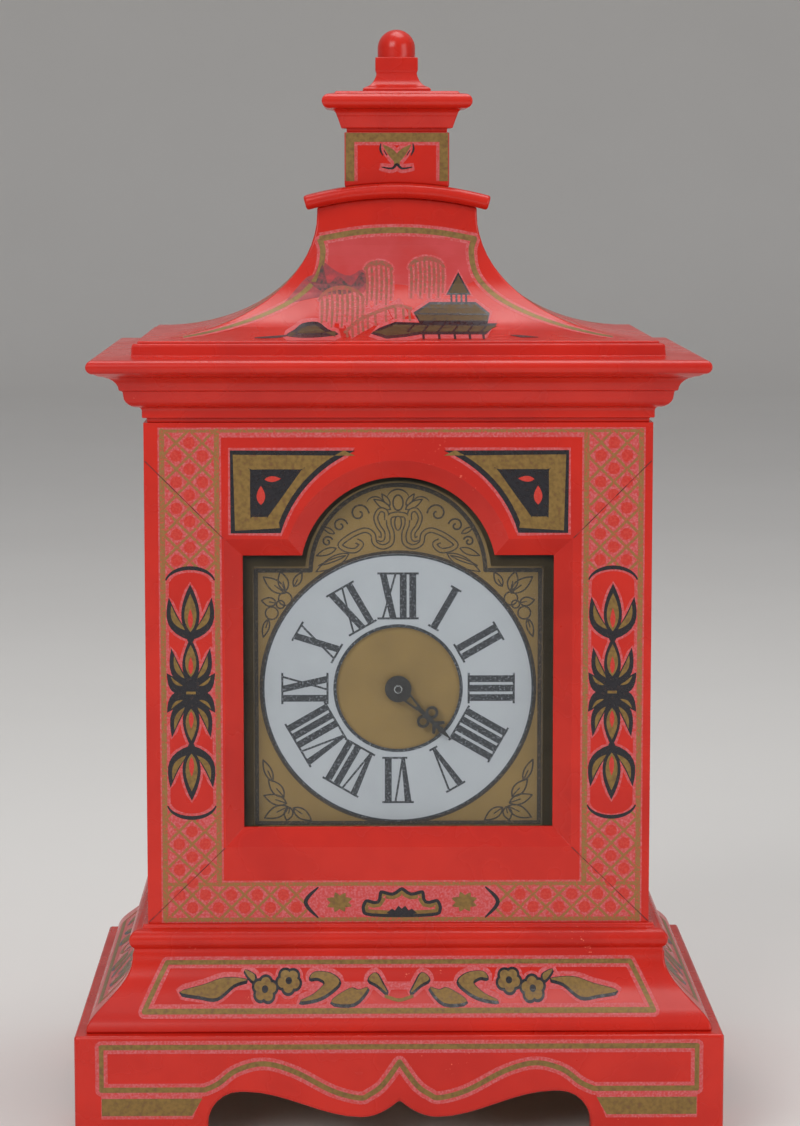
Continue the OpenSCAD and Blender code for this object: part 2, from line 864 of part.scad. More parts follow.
module barrel() {
    x = barrel_at[0];
    z = hand_z + barrel_at[1];
    color(brass)
        difference() {
            union() {
                rod(x, z, gap_y + y_drum, gap_y + y_flange + 0.5, drum_r);
                toothed(barrel_at, y_flange, 2, barrel_teeth, barrel_m, 0);
            }
            rod(x, z, gap_y + y_drum + drum_wall, gap_y + y_flange, drum_r - drum_wall);
            rod(x, z, gap_y + y_drum - 1, gap_y + y_flange + 3, barrel_arbor_r + play);
        }
}

// Flat spiral strip, as an outline
function spiral(r0, r1, turns, t, n) =
    concat([for (i = [0:n]) polar(r0 + (r1 - r0) * i / n, turns * 360 * i / n)],
           [for (i = [n:-1:0]) polar(r0 + t + (r1 - r0) * i / n, turns * 360 * i / n)]);

module mainspring() {
    color(steel)
        translate([barrel_at[0], 0, hand_z + barrel_at[1]])
            slab(gap_y + y_drum + 2.2, drum_len - 4)
                polygon(spiral(8, drum_r - drum_wall - 0.55, 7, 0.5, 140));
}

core_r = 6;
key_y = ratchet_y + ratchet_t + 3;
key_len = 8;

module barrel_arbor() {
    x = barrel_at[0];
    z = hand_z + barrel_at[1];
    color(steel) {
        rod(x, z, plate_y, key_y + key_len - 1, barrel_arbor_r);
        rod(x, z, gap_y + y_drum + 2.2, gap_y + y_flange - 0.7, core_r);
    }
}

ratchet_teeth = 24;
ratchet_r = 9;
ratchet_root = 7.6;
ratchet_phase = 0;

module ratchet_wheel() {
    color(steel)
        translate([barrel_at[0], 0, hand_z + barrel_at[1]])
            slab(ratchet_y, ratchet_t)
                difference() {
                    polygon([for (i = [0:ratchet_teeth - 1])
                        let (a = ratchet_phase + i * 360 / ratchet_teeth)
                        each [polar(ratchet_root, a), polar(ratchet_r, a)]]);
                    circle(r = barrel_arbor_r, $fn = smooth);
                }
}

// Click: an eye on its stud and a hooked beak that rests in a ratchet gap
beak_angle = 148;
click_eye_r = 2.6;
click_half_w = 2.2;

module click() {
    beak = barrel_at + polar(ratchet_root + 0.35, beak_angle);
    heel = barrel_at + polar(ratchet_r + 1.8, beak_angle + 1);
    throat = barrel_at + polar(ratchet_r + 0.4, beak_angle - 11);
    lean = dir(click_at, beak);
    color(steel)
        translate([0, 0, hand_z])
            slab(ratchet_y, ratchet_t)
                difference() {
                    union() {
                        translate(click_at) circle(r = click_eye_r, $fn = 48);
                        polygon([beak, throat, click_at + polar(click_half_w, lean + 90),
                                 click_at + polar(click_half_w, lean - 90), heel]);
                    }
                    translate(click_at) circle(r = click_stud_r + play, $fn = 48);
                }
}

// Butterfly key on the barrel arbor
wing_t = 1.8;

module winding_key() {
    x = barrel_at[0];
    z = hand_z + barrel_at[1];
    wing_y = key_y + key_len + 3;
    color(brass)
        difference() {
            union() {
                rod(x, z, key_y, key_y + key_len, 4);
                translate([x - 8, key_y + key_len - 1, z - wing_t / 2]) cube([16, 6, wing_t]);
                for (s = [-1, 1])
                    translate([x + s * 8.5, wing_y, z - wing_t / 2]) cylinder(h = wing_t, r = 5.5, $fn = 48);
            }
            rod(x, z, key_y - 1, key_y + key_len - 1, barrel_arbor_r);
        }
}

module intermediate_wheel() {
    color(brass) {
        arbor(inter_at);
        spoked(inter_at, y_inter, wheel_t, inter_teeth, inter_m, 0);
        toothed(inter_at, y_flange - 1, 4, inter_pinion, barrel_m, gear_phase_inter());
    }
}

pipe_r = 2;

// Centre wheel and pinion on a pipe that slips on the centre arbor
module centre_wheel() {
    color(brass)
        difference() {
            union() {
                rod(0, hand_z, gap_y + 0.8, gap_y + plate_gap - 0.8, pipe_r);
                toothed(centre_at, y_inter - 0.8, 3.1, centre_pinion, inter_m, gear_phase_centre());
                spoked(centre_at, y_centre, wheel_t, centre_teeth, centre_m, 0);
            }
            rod(0, hand_z, gap_y, gap_y + plate_gap, centre_arbor_r + play);
        }
}

module third_wheel() {
    color(brass) {
        arbor(third_at);
        spoked(third_at, y_third, wheel_t, third_teeth, third_m, 0);
        toothed(third_at, y_centre - 0.8, 3, small_pinion, centre_m, gear_phase_third());
    }
}

module fourth_wheel() {
    color(brass) {
        arbor(fourth_at);
        spoked(fourth_at, y_fourth, wheel_t, fourth_teeth, fourth_m, 0);
        toothed(fourth_at, y_third - 0.8, 3, small_pinion, third_m, gear_phase_fourth());
    }
}

escape_teeth = 15;
escape_r = 7;
escape_root = 5.2;

module escape_wheel() {
    color(brass) {
        arbor(escape_at);
        translate([escape_at[0], 0, hand_z + escape_at[1]])
            slab(gap_y + y_escape, 1.2)
                polygon([for (i = [0:escape_teeth - 1])
                    let (a = i * 360 / escape_teeth)
                    each [polar(escape_root, a), polar(escape_r, a + 8), polar(escape_r, a + 10.5),
                          polar(escape_root, a + 11)]]);
        toothed(escape_at, y_fourth - 0.8, 3, small_pinion, fourth_m, gear_phase_escape());
    }
}

// Lever: two pallets towards the escape wheel and a fork towards the balance
pallet_r = 8.3;
pallet_angle = 34;
fork_reach = 9;

module lever() {
    color(steel) {
        arbor(lever_at);
        translate([escape_at[0], 0, hand_z + escape_at[1]])
            slab(gap_y + y_escape, 1.2)
                union() {
                    for (s = [-1, 1]) {
                        rotate(s * pallet_angle) translate([pallet_r, 0]) square([1.2, 1.4], center = true);
                        polygon([polar(pallet_r + 0.2, s * (pallet_angle - 4)),
                                 polar(pallet_r + 0.6, s * (pallet_angle + 4)),
                                 [10.9, s * 1.2], [10.2, 0]]);
                    }
                    difference() {
                        translate([10.2, -0.8]) square([fork_reach, 1.6]);
                        translate([10.2 + fork_reach - 1, -0.4]) square([2, 0.8]);
                    }
                }
    }
}

rim_r = 10;
roller_pin_r = 2.2;
y_roller = y_escape + 1.7;
y_rim = 11;
y_hairspring = 15;

module balance() {
    x = balance_at[0];
    z = hand_z + balance_at[1];
    color(brass) {
        arbor(balance_at);
        translate([x, 0, z])
            slab(gap_y + y_rim, wheel_t)
                union() {
                    difference() {
                        circle(r = rim_r, $fn = smooth);
                        circle(r = rim_r - 1.4, $fn = smooth);
                    }
                    square([2 * rim_r - 1, 1.6], center = true);
                }
        rod(x, z, gap_y + y_roller, gap_y + y_roller + 0.8, roller_pin_r + 0.6);
        rod(x - roller_pin_r, z, gap_y + y_roller - 1.4, gap_y + y_roller + 0.4, 0.3);
    }
}

// Hairspring, pinned to a stud on the rear plate
module hairspring() {
    x = balance_at[0];
    z = hand_z + balance_at[1];
    color(blued) {
        translate([x, 0, z]) slab(gap_y + y_hairspring, 0.6) polygon(spiral(1.7, 6.2, 5, 0.2, 100));
        rod(x + 6.3, z, gap_y + y_hairspring, rear_plate_y, 0.5);
    }
}

// Centre arbor with the cannon pinion in front and the hand-setting knob behind
cannon_y = plate_y - 3.9;
knob_y = rear_plate_y + plate_t + 5;
knob_t = 6;
knob_r = 8;

module centre_arbor() {
    color(steel) {
        rod(0, hand_z, hand_y - 1, knob_y + knob_t, centre_arbor_r);
        rod(0, hand_z, hand_y - 0.8, cannon_y + 1, cannon_r);
        translate([0, 0, hand_z])
            slab(cannon_y, 2.4) polygon(gear_points(cannon_teeth, minute_m, 0));
        rod(0, hand_z, knob_y - 2, knob_y, 3.4);
        translate([0, 0, hand_z])
            slab(knob_y, knob_t)
                polygon([for (i = [0:35]) polar(knob_r - 0.5 * (i % 2), i * 10)]);
    }
}

// Hour wheel with its pipe, and the minute wheel with its pinion
hour_wheel_y = plate_y - 5.6;
minute_phase = mate(0, cannon_teeth, minute_teeth, dir(centre_at, minute_at));
hour_phase = mate(0, minute_pinion, hour_teeth, dir(minute_at, centre_at));

module minute_wheel() {
    wheel_y = plate_y - 3.3;
    color(brass)
        translate([minute_at[0], 0, hand_z + minute_at[1]])
            difference() {
                union() {
                    slab(wheel_y, 1) polygon(gear_points(minute_teeth, minute_m, minute_phase));
                    slab(wheel_y - 2.8, 3) polygon(gear_points(minute_pinion, hour_m, 0));
                }
                rod(0, 0, wheel_y - 4, wheel_y + 2, stud_r + play);
            }
}

module hour_wheel() {
    color(brass)
        difference() {
            union() {
                rod(0, hand_z, hand_y, hour_wheel_y + 0.5, hour_pipe_r);
                translate([0, 0, hand_z])
                    slab(hour_wheel_y, 1) polygon(gear_points(hour_teeth, hour_m, hour_phase));
            }
            rod(0, hand_z, hand_y - 1, hour_wheel_y + 2, cannon_r + play);
        }
}

// ---- Back door ----

hinge_y = back_y + knuckle_r;
pin_r = 0.7;
knuckle_h = leaf_h / 3 - 0.2;
knob_x = -door_w / 2 + 13;
knob_tenon_r = 1.5;
knob_tenon = 4;

module back_door() {
    color(coral)
        difference() {
            translate([-door_w / 2, back_frame_y, door_z]) cube([door_w, back_t, door_h]);
            rod(knob_x, button_z, back_y - knob_tenon, back_y + 1, knob_tenon_r);
            for (z = hinge_screw_z)
                rod(hinge_x - hinge_screw_x, z, back_y - wood_screw_deep, back_y + 1, hinge_screw_r);
        }
}

module door_knob() {
    color(brass) {
        rod(knob_x, button_z, back_y - knob_tenon, back_y + 1, knob_tenon_r);
        translate([knob_x, back_y, button_z]) rotate([-90, 0, 0])
            rotate_extrude($fn = smooth)
                polygon(concat([[0, 0], [3.4, 0], [3, 1], [1.8, 2], [1.8, 3.5]],
                               arc(0, 6.4, 4, 3, -40, 90, 8)));
    }
}

module hinge_case_leaves() {
    color(brass)
        for (zc = hinge_z)
            difference() {
                union() {
                    translate([hinge_x + 0.8, back_y, zc - leaf_h / 2]) cube([leaf_w, leaf_t, leaf_h]);
                    for (k = [-1, 1])
                        translate([hinge_x, hinge_y, zc + (k - 0.5) * leaf_h / 3 + 0.1])
                            cylinder(h = knuckle_h, r = knuckle_r, $fn = 48);
                }
                translate([hinge_x - 2, back_y - 1, zc - leaf_h / 6 - 0.1]) cube([4.2, 5, leaf_h / 3 + 0.2]);
                translate([hinge_x, hinge_y, zc - leaf_h]) cylinder(h = 2 * leaf_h, r = pin_r, $fn = 48);
                for (z = hinge_screw_z)
                    rod(hinge_x + hinge_screw_x, z, back_y - 1, back_y + 2, hinge_screw_r);
            }
}

module hinge_door_leaves() {
    color(brass)
        for (zc = hinge_z)
            difference() {
                union() {
                    translate([hinge_x - 0.8 - leaf_w, back_y, zc - leaf_h / 2])
                        cube([leaf_w, leaf_t, leaf_h]);
                    translate([hinge_x, hinge_y, zc - leaf_h / 6 + 0.1])
                        cylinder(h = knuckle_h, r = knuckle_r, $fn = 48);
                }
                for (z = hinge_screw_z)
                    rod(hinge_x - hinge_screw_x, z, back_y - 1, back_y + 2, hinge_screw_r);
                for (k = [-1, 1])
                    translate([hinge_x - 2.2, back_y - 1, zc + (k - 0.5) * leaf_h / 3 - 0.1])
                        cube([4.2, 5, leaf_h / 3 + 0.2]);
                translate([hinge_x, hinge_y, zc - leaf_h])
                    cylinder(h = 2 * leaf_h, r = pin_r + play, $fn = 48);
            }
}

module hinge_pins() {
    color(steel)
        for (zc = hinge_z)
            translate([hinge_x, hinge_y, zc - leaf_h / 2]) {
                cylinder(h = leaf_h + 0.2, r = pin_r, $fn = 48);
                translate([0, 0, leaf_h]) cylinder(h = 0.8, r = 1.2, $fn = 48);
            }
}

// Turn-button that keeps the door shut
button_lift = 0.3;
button_t = 1.8;

module turn_button() {
    color(brass)
        translate([button_x, 0, button_z])
            slab(back_y + button_lift, button_t)
                difference() {
                    union() {
                        circle(r = 3.4, $fn = 48);
                        translate([-2, 0]) square([4, 12]);
                    }
                    circle(r = button_r + play, $fn = 48);
                }
}

// Slotted round-head screw standing out of the back
module screw(x, z, shank_r, grip) {
    difference() {
        union() {
            rod(x, z, back_y - wood_screw_deep, back_y + grip, shank_r);
            rod(x, z, back_y + grip, back_y + grip + 0.7, 2 * shank_r);
        }
        translate([x - 2 * shank_r - 1, back_y + grip + 0.4, z - 0.2]) cube([4 * shank_r + 2, 1, 0.4]);
    }
}

module case_screws() {
    color(brass) {
        for (z = hinge_screw_z) screw(hinge_x + hinge_screw_x, z, hinge_screw_r, leaf_t);
        screw(button_x, button_z, button_r, button_lift + button_t + 0.2);
    }
}

module door_screws() {
    color(brass)
        for (z = hinge_screw_z) screw(hinge_x - hinge_screw_x, z, hinge_screw_r, leaf_t);
}

apron_front();
apron_back();
apron_sides();
foot_blocks();
plinth_board();
base_moulding_front();
base_moulding_back();
base_moulding_sides();
case_floor();
case_sides();
front_stiles();
front_rail_bottom();
front_rail_top();
back_frame();
case_top_board();
cornice_front();
cornice_back();
cornice_sides();
roof_front();
roof_back();
roof_sides();
roof_ledge();
lantern_block();
lantern_cap();
finial();
glass_pane();
dial_mask();
dial_plate();
chapter_ring();
dial_feet();
dial_screws();
hour_hand();
back_door();
door_knob();
turn_button();
hinge_case_leaves();
hinge_door_leaves();
hinge_pins();
case_screws();
door_screws();
front_plate();
rear_plate();
pillars();
barrel();
mainspring();
barrel_arbor();
ratchet_wheel();
click();
winding_key();
intermediate_wheel();
centre_wheel();
third_wheel();
fourth_wheel();
escape_wheel();
lever();
balance();
hairspring();
centre_arbor();
minute_wheel();
hour_wheel();
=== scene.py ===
"""Lacquered bell-top mantel clock: the finished pieces, their paint and their materials.

Sizes are in millimetres and become metres where a mesh is made. +X is to the right, +Y to the back, +Z up.
"""

import logging
import math
from collections.abc import Callable, Iterable, Sequence
from dataclasses import dataclass, field
from enum import Enum
from typing import Any

import bmesh
import bpy
import numpy as np
from mathutils import Matrix, Vector
from mathutils.geometry import delaunay_2d_cdt


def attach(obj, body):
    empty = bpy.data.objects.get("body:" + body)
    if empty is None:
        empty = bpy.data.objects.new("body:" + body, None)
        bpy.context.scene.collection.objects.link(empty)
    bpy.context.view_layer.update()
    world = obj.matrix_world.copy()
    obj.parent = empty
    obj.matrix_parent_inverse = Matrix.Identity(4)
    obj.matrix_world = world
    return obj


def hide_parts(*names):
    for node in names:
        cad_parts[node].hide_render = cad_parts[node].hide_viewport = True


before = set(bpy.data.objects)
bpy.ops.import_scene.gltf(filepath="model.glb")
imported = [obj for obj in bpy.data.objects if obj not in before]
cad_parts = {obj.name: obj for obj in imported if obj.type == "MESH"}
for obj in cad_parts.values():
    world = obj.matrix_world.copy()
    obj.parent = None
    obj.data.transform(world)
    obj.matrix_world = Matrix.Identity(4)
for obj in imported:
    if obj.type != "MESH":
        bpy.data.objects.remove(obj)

log = logging.getLogger("mantel_clock")

MM = 0.001

Point = tuple[float, float]
Outline = list[Point]
Colour = tuple[float, float, float]


# ---- Node trees ----


class Graph:
    """Adds nodes to one node tree and links them."""

    def __init__(self, tree: bpy.types.NodeTree) -> None:
        """Start on a tree.

        Args:
            tree: The node tree that the nodes go in.
        """
        self.tree = tree

    def add(self, kind: str, values: dict[str, Any] | None = None, **settings: Any) -> bpy.types.Node:
        """Add one node.

        Args:
            kind: The node's type name in Blender.
            values: Input socket name to a value, or to an output socket to link from.
            **settings: Attributes of the node itself.

        Returns:
            The new node.
        """
        node = self.tree.nodes.new(kind)
        for key, value in settings.items():
            setattr(node, key, value)
        for key, value in (values or {}).items():
            socket = node.inputs[key]
            if isinstance(value, bpy.types.NodeSocket):
                self.tree.links.new(value, socket)
            else:
                socket.default_value = value
        return node

    def math(self, operation: str, first: Any, second: Any = 0.0) -> bpy.types.NodeSocket:
        """Add a Math node and return its output.

        Args:
            operation: The Math node's operation.
            first: A number or an output socket.
            second: A number or an output socket.

        Returns:
            The result socket.
        """
        node = self.tree.nodes.new("ShaderNodeMath")
        node.operation = operation
        for socket, value in zip(node.inputs, (first, second)):
            if isinstance(value, bpy.types.NodeSocket):
                self.tree.links.new(value, socket)
            else:
                socket.default_value = value
        return node.outputs[0]

    def blend(self, share: Any, first: Any, second: Any) -> bpy.types.NodeSocket:
        """Mix two colours.

        Args:
            share: How much of the second colour shows, as a number or a socket.
            first: A colour or a colour socket.
            second: A colour or a colour socket.

        Returns:
            The mixed colour socket.
        """
        node = self.tree.nodes.new("ShaderNodeMix")
        node.data_type = "RGBA"
        for socket, value in zip((node.inputs[0], node.inputs[6], node.inputs[7]), (share, first, second)):
            if isinstance(value, bpy.types.NodeSocket):
                self.tree.links.new(value, socket)
            else:
                socket.default_value = (*value, 1.0) if isinstance(value, tuple) else value
        return node.outputs[2]

    def ramp(self, value: bpy.types.NodeSocket, low: float, high: float,
             out_low: float = 0.0, out_high: float = 1.0) -> bpy.types.NodeSocket:
        """Stretch a value from one range to another, with its ends held.

        Args:
            value: The socket to stretch.
            low: The input that gives out_low.
            high: The input that gives out_high.
            out_low: The lower result.
            out_high: The higher result.

        Returns:
            The stretched value.
        """
        node = self.add("ShaderNodeMapRange", {"Value": value}, interpolation_type="SMOOTHSTEP")
        for key, number in (("From Min", low), ("From Max", high), ("To Min", out_low), ("To Max", out_high)):
            node.inputs[key].default_value = number
        return node.outputs["Result"]


def shader_group(name: str, inputs: dict[str, tuple[str, Any]], outputs: dict[str, str],
                 fill: Callable[[Graph, bpy.types.Node, bpy.types.Node], None]) -> bpy.types.NodeTree:
    """Make a shader node group once.

    Args:
        name: The group's name.
        inputs: Socket name to its socket type and default.
        outputs: Socket name to its socket type.
        fill: Adds the nodes between the group's input node and output node.

    Returns:
        The group, new or already made.
    """
    if name in bpy.data.node_groups:
        return bpy.data.node_groups[name]
    tree = bpy.data.node_groups.new(name, "ShaderNodeTree")
    for key, (kind, default) in inputs.items():
        socket = tree.interface.new_socket(key, in_out="INPUT", socket_type=kind)
        if default is not None:
            socket.default_value = default
    for key, kind in outputs.items():
        tree.interface.new_socket(key, in_out="OUTPUT", socket_type=kind)
    graph = Graph(tree)
    fill(graph, graph.add("NodeGroupInput"), graph.add("NodeGroupOutput"))
    return tree


def fill_wear(graph: Graph, source: bpy.types.Node, target: bpy.types.Node) -> None:
    """Nodes of the wear group: broad cloud, small chips and fine grit.

    Args:
        graph: The group's graph.
        source: The group's input node.
        target: The group's output node.
    """
    at, scale, amount = (source.outputs[key] for key in ("Vector", "Scale", "Amount"))
    cloud = graph.add("ShaderNodeTexNoise", {"Vector": at, "Scale": scale, "Detail": 3.0, "Roughness": 0.6})
    fine = graph.add("ShaderNodeTexNoise",
                     {"Vector": at, "Scale": graph.math("MULTIPLY", scale, 22.0), "Detail": 4.0,
                      "Roughness": 0.65})
    sparse = graph.math("MULTIPLY", graph.ramp(cloud.outputs["Fac"], 0.46, 0.66), fine.outputs["Fac"])
    chips = graph.math("GREATER_THAN", sparse, graph.math("SUBTRACT", 0.72,
                                                          graph.math("MULTIPLY", amount, 0.3)))
    grit = graph.add("ShaderNodeTexNoise", {"Vector": at, "Scale": graph.math("MULTIPLY", scale, 60.0)})
    for key, value in (("Cloud", cloud.outputs["Fac"]), ("Chips", chips), ("Grit", grit.outputs["Fac"])):
        graph.tree.links.new(value, target.inputs[key])


def wear_group() -> bpy.types.NodeTree:
    """The shared group for clouding, chips and grit.

    Returns:
        The node group.
    """
    return shader_group(
        "finish_wear",
        {"Vector": ("NodeSocketVector", None), "Scale": ("NodeSocketFloat", 20.0),
         "Amount": ("NodeSocketFloat", 0.3)},
        {"Cloud": "NodeSocketFloat", "Chips": "NodeSocketFloat", "Grit": "NodeSocketFloat"},
        fill_wear)


def fill_mottle(graph: Graph, source: bpy.types.Node, target: bpy.types.Node) -> None:
    """Nodes of the mottle group: soft blotches that break a thin coat of paint.

    Args:
        graph: The group's graph.
        source: The group's input node.
        target: The group's output node.
    """
    at, scale, cover, soft = (source.outputs[key] for key in ("Vector", "Scale", "Cover", "Soft"))
    blot = graph.add("ShaderNodeTexNoise", {"Vector": at, "Scale": scale, "Detail": 2.5, "Roughness": 0.55})
    middle = graph.math("SUBTRACT", 0.845, graph.math("MULTIPLY", cover, 0.5))
    half = graph.math("MULTIPLY", soft, 0.5)
    mask = graph.add("ShaderNodeMapRange", {"Value": blot.outputs["Fac"],
                                            "From Min": graph.math("SUBTRACT", middle, half),
                                            "From Max": graph.math("ADD", middle, half)})
    graph.tree.links.new(mask.outputs["Result"], target.inputs["Mask"])
    graph.tree.links.new(blot.outputs["Fac"], target.inputs["Blot"])


def mottle_group() -> bpy.types.NodeTree:
    """The shared group for broken paint.

    Returns:
        The node group.
    """
    return shader_group(
        "paint_mottle",
        {"Vector": ("NodeSocketVector", None), "Scale": ("NodeSocketFloat", 900.0),
         "Cover": ("NodeSocketFloat", 0.6), "Soft": ("NodeSocketFloat", 0.13)},
        {"Mask": "NodeSocketFloat", "Blot": "NodeSocketFloat"},
        fill_mottle)


def fill_brushing(graph: Graph, source: bpy.types.Node, target: bpy.types.Node) -> None:
    """Nodes of the brushing group: fine lines drawn out along one direction.

    Args:
        graph: The group's graph.
        source: The group's input node.
        target: The group's output node.
    """
    at, scale, stretch = (source.outputs[key] for key in ("Vector", "Scale", "Stretch"))
    drawn = graph.add("ShaderNodeVectorMath", {0: at, 1: stretch}, operation="MULTIPLY")
    lines = graph.add("ShaderNodeTexNoise", {"Vector": drawn.outputs[0], "Scale": scale, "Detail": 4.0})
    graph.tree.links.new(lines.outputs["Fac"], target.inputs["Lines"])


def brushing_group() -> bpy.types.NodeTree:
    """The shared group for brushed metal and for wood grain.

    Returns:
        The node group.
    """
    return shader_group(
        "drawn_lines",
        {"Vector": ("NodeSocketVector", None), "Scale": ("NodeSocketFloat", 300.0),
         "Stretch": ("NodeSocketVector", (1.0, 1.0, 1.0))},
        {"Lines": "NodeSocketFloat"},
        fill_brushing)


# ---- Finishes ----


def start_material(name: str) -> tuple[bpy.types.Material, Graph, bpy.types.Node, bpy.types.NodeSocket]:
    """Make an empty node material.

    Args:
        name: The material's name.

    Returns:
        The material, its graph, its Principled node and the object-coordinate socket.
    """
    material = bpy.data.materials.new(name)
    material.use_nodes = True
    graph = Graph(material.node_tree)
    shader = material.node_tree.nodes["Principled BSDF"]
    at = graph.add("ShaderNodeTexCoord").outputs["Object"]
    return material, graph, shader, at


def group_node(graph: Graph, tree: bpy.types.NodeTree, values: dict[str, Any]) -> bpy.types.Node:
    """Place a node group in a material.

    Args:
        graph: The material's graph.
        tree: The group.
        values: The group's input values or links.

    Returns:
        The group node.
    """
    node = graph.tree.nodes.new("ShaderNodeGroup")
    node.node_tree = tree
    for key, value in values.items():
        if isinstance(value, bpy.types.NodeSocket):
            graph.tree.links.new(value, node.inputs[key])
        else:
            node.inputs[key].default_value = value
    return node


def bump(graph: Graph, shader: bpy.types.Node, height: bpy.types.NodeSocket, depth_mm: float) -> None:
    """Give a material a bump.

    Args:
        graph: The material's graph.
        shader: Its Principled node.
        height: The height from 0 to 1.
        depth_mm: How deep a height of 1 is.
    """
    node = graph.add("ShaderNodeBump", {"Strength": 1.0, "Distance": depth_mm * MM, "Height": height})
    graph.tree.links.new(node.outputs["Normal"], shader.inputs["Normal"])


@dataclass(frozen=True)
class Lacquer:
    """Glossy lacquer over wood, with soft clouding, rubbed spots and a clear coat.

    Attributes:
        name: The material's name.
        body: The main colour.
        deep: The colour where the coat is thicker.
        rubbed: The colour of small worn spots.
        wear: Share of worn spots.
        gloss: Lowest roughness.
    """

    name: str
    body: Colour
    deep: Colour
    rubbed: Colour
    wear: float = 0.3
    gloss: float = 0.2

    def make(self) -> bpy.types.Material:
        """Build the material.

        Returns:
            The new material.
        """
        material, graph, shader, at = start_material(self.name)
        wear = group_node(graph, wear_group(), {"Vector": at, "Scale": 34.0, "Amount": self.wear})
        tone = graph.ramp(wear.outputs["Cloud"], 0.3, 0.7)
        colour = graph.blend(tone, self.body, self.deep)
        colour = graph.blend(wear.outputs["Chips"], colour, self.rubbed)
        rough = graph.math("ADD", graph.ramp(wear.outputs["Cloud"], 0.35, 0.75, self.gloss,
                                             self.gloss + 0.12),
                           graph.math("MULTIPLY", wear.outputs["Chips"], 0.25))
        graph.tree.links.new(colour, shader.inputs["Base Color"])
        graph.tree.links.new(rough, shader.inputs["Roughness"])
        bump(graph, shader, wear.outputs["Grit"], 0.012)
        shader.inputs["Specular IOR Level"].default_value = 0.32
        shader.inputs["Coat Weight"].default_value = 0.16
        shader.inputs["Coat Roughness"].default_value = 0.14
        return material


@dataclass(frozen=True)
class BrokenPaint:
    """A thin hand-painted coat that lets the ground show through in blotches.

    Attributes:
        name: The material's name.
        coat: The paint's colour.
        ground: The colour that shows through.
        cover: Share of the area where the paint holds.
        grain: Blotches per metre.
        metal: How metallic the paint is.
        rough: Its roughness.
        soft: How slowly the coat fades out at the edge of a blotch.
    """

    name: str
    coat: Colour
    ground: Colour
    cover: float = 0.8
    grain: float = 900.0
    metal: float = 0.0
    rough: float = 0.4
    soft: float = 0.13

    def make(self) -> bpy.types.Material:
        """Build the material.

        Returns:
            The new material.
        """
        material, graph, shader, at = start_material(self.name)
        mottle = group_node(graph, mottle_group(), {"Vector": at, "Scale": self.grain, "Cover": self.cover,
                                                   "Soft": self.soft})
        shade = graph.ramp(mottle.outputs["Blot"], 0.3, 0.7)
        dark = tuple(0.72 * c for c in self.coat)
        colour = graph.blend(mottle.outputs["Mask"], self.ground, graph.blend(shade, dark, self.coat))
        graph.tree.links.new(colour, shader.inputs["Base Color"])
        graph.tree.links.new(graph.ramp(mottle.outputs["Blot"], 0.3, 0.7, self.rough - 0.08,
                                        self.rough + 0.1),
                             shader.inputs["Roughness"])
        if self.metal:
            graph.tree.links.new(graph.math("MULTIPLY", mottle.outputs["Mask"], self.metal),
                                 shader.inputs["Metallic"])
        bump(graph, shader, mottle.outputs["Blot"], 0.01)
        return material


@dataclass(frozen=True)
class Metal:
    """Metal with drawn lines, dull clouds and small tarnish spots.

    Attributes:
        name: The material's name.
        colour: The clean colour; for the dial plate, its chapter ring and the spacer it is darkened as
            painted shade.
        tarnish: The tarnished colour.
        metallic: How metallic it is.
        rough: Its mean roughness.
        stretch: How the lines are drawn out along each axis; a small number is a long line.
        age: Share of tarnish.
    """

    name: str
    colour: Colour
    tarnish: Colour
    metallic: float = 1.0
    rough: float = 0.3
    stretch: tuple[float, float, float] = (0.12, 1.0, 1.0)
    age: float = 0.4

    def make(self) -> bpy.types.Material:
        """Build the material.

        Returns:
            The new material.
        """
        material, graph, shader, at = start_material(self.name)
        lines = group_node(graph, brushing_group(), {"Vector": at, "Scale": 900.0, "Stretch": self.stretch})
        wear = group_node(graph, wear_group(), {"Vector": at, "Scale": 55.0, "Amount": self.age})
        old = graph.math("MULTIPLY", graph.ramp(wear.outputs["Cloud"], 0.35, 0.75), self.age)
        colour = graph.blend(old, self.colour, self.tarnish)
        colour = graph.blend(graph.math("MULTIPLY", wear.outputs["Chips"], 0.6), colour, self.tarnish)
        graph.tree.links.new(colour, shader.inputs["Base Color"])
        graph.tree.links.new(graph.ramp(lines.outputs["Lines"], 0.3, 0.7, self.rough - 0.07,
                                        self.rough + 0.09),
                             shader.inputs["Roughness"])
        bump(graph, shader, lines.outputs["Lines"], 0.006)
        shader.inputs["Metallic"].default_value = self.metallic
        return material


@dataclass(frozen=True)
class BareWood:
    """Plain unfinished hardwood with a straight grain.

    Attributes:
        name: The material's name.
        early: The pale wood.
        late: The dark lines.
    """

    name: str
    early: Colour
    late: Colour

    def make(self) -> bpy.types.Material:
        """Build the material.

        Returns:
            The new material.
        """
        material, graph, shader, at = start_material(self.name)
        grain = group_node(graph, brushing_group(),
                           {"Vector": at, "Scale": 260.0, "Stretch": (0.08, 1.0, 1.0)})
        fine = group_node(graph, brushing_group(),
                          {"Vector": at, "Scale": 1300.0, "Stretch": (0.05, 1.0, 1.0)})
        both = graph.math("ADD", graph.math("MULTIPLY", grain.outputs["Lines"], 0.7),
                          graph.math("MULTIPLY", fine.outputs["Lines"], 0.3))
        graph.tree.links.new(graph.blend(graph.ramp(both, 0.38, 0.62), self.early, self.late),
                             shader.inputs["Base Color"])
        graph.tree.links.new(graph.ramp(both, 0.3, 0.7, 0.55, 0.75), shader.inputs["Roughness"])
        bump(graph, shader, both, 0.05)
        return material


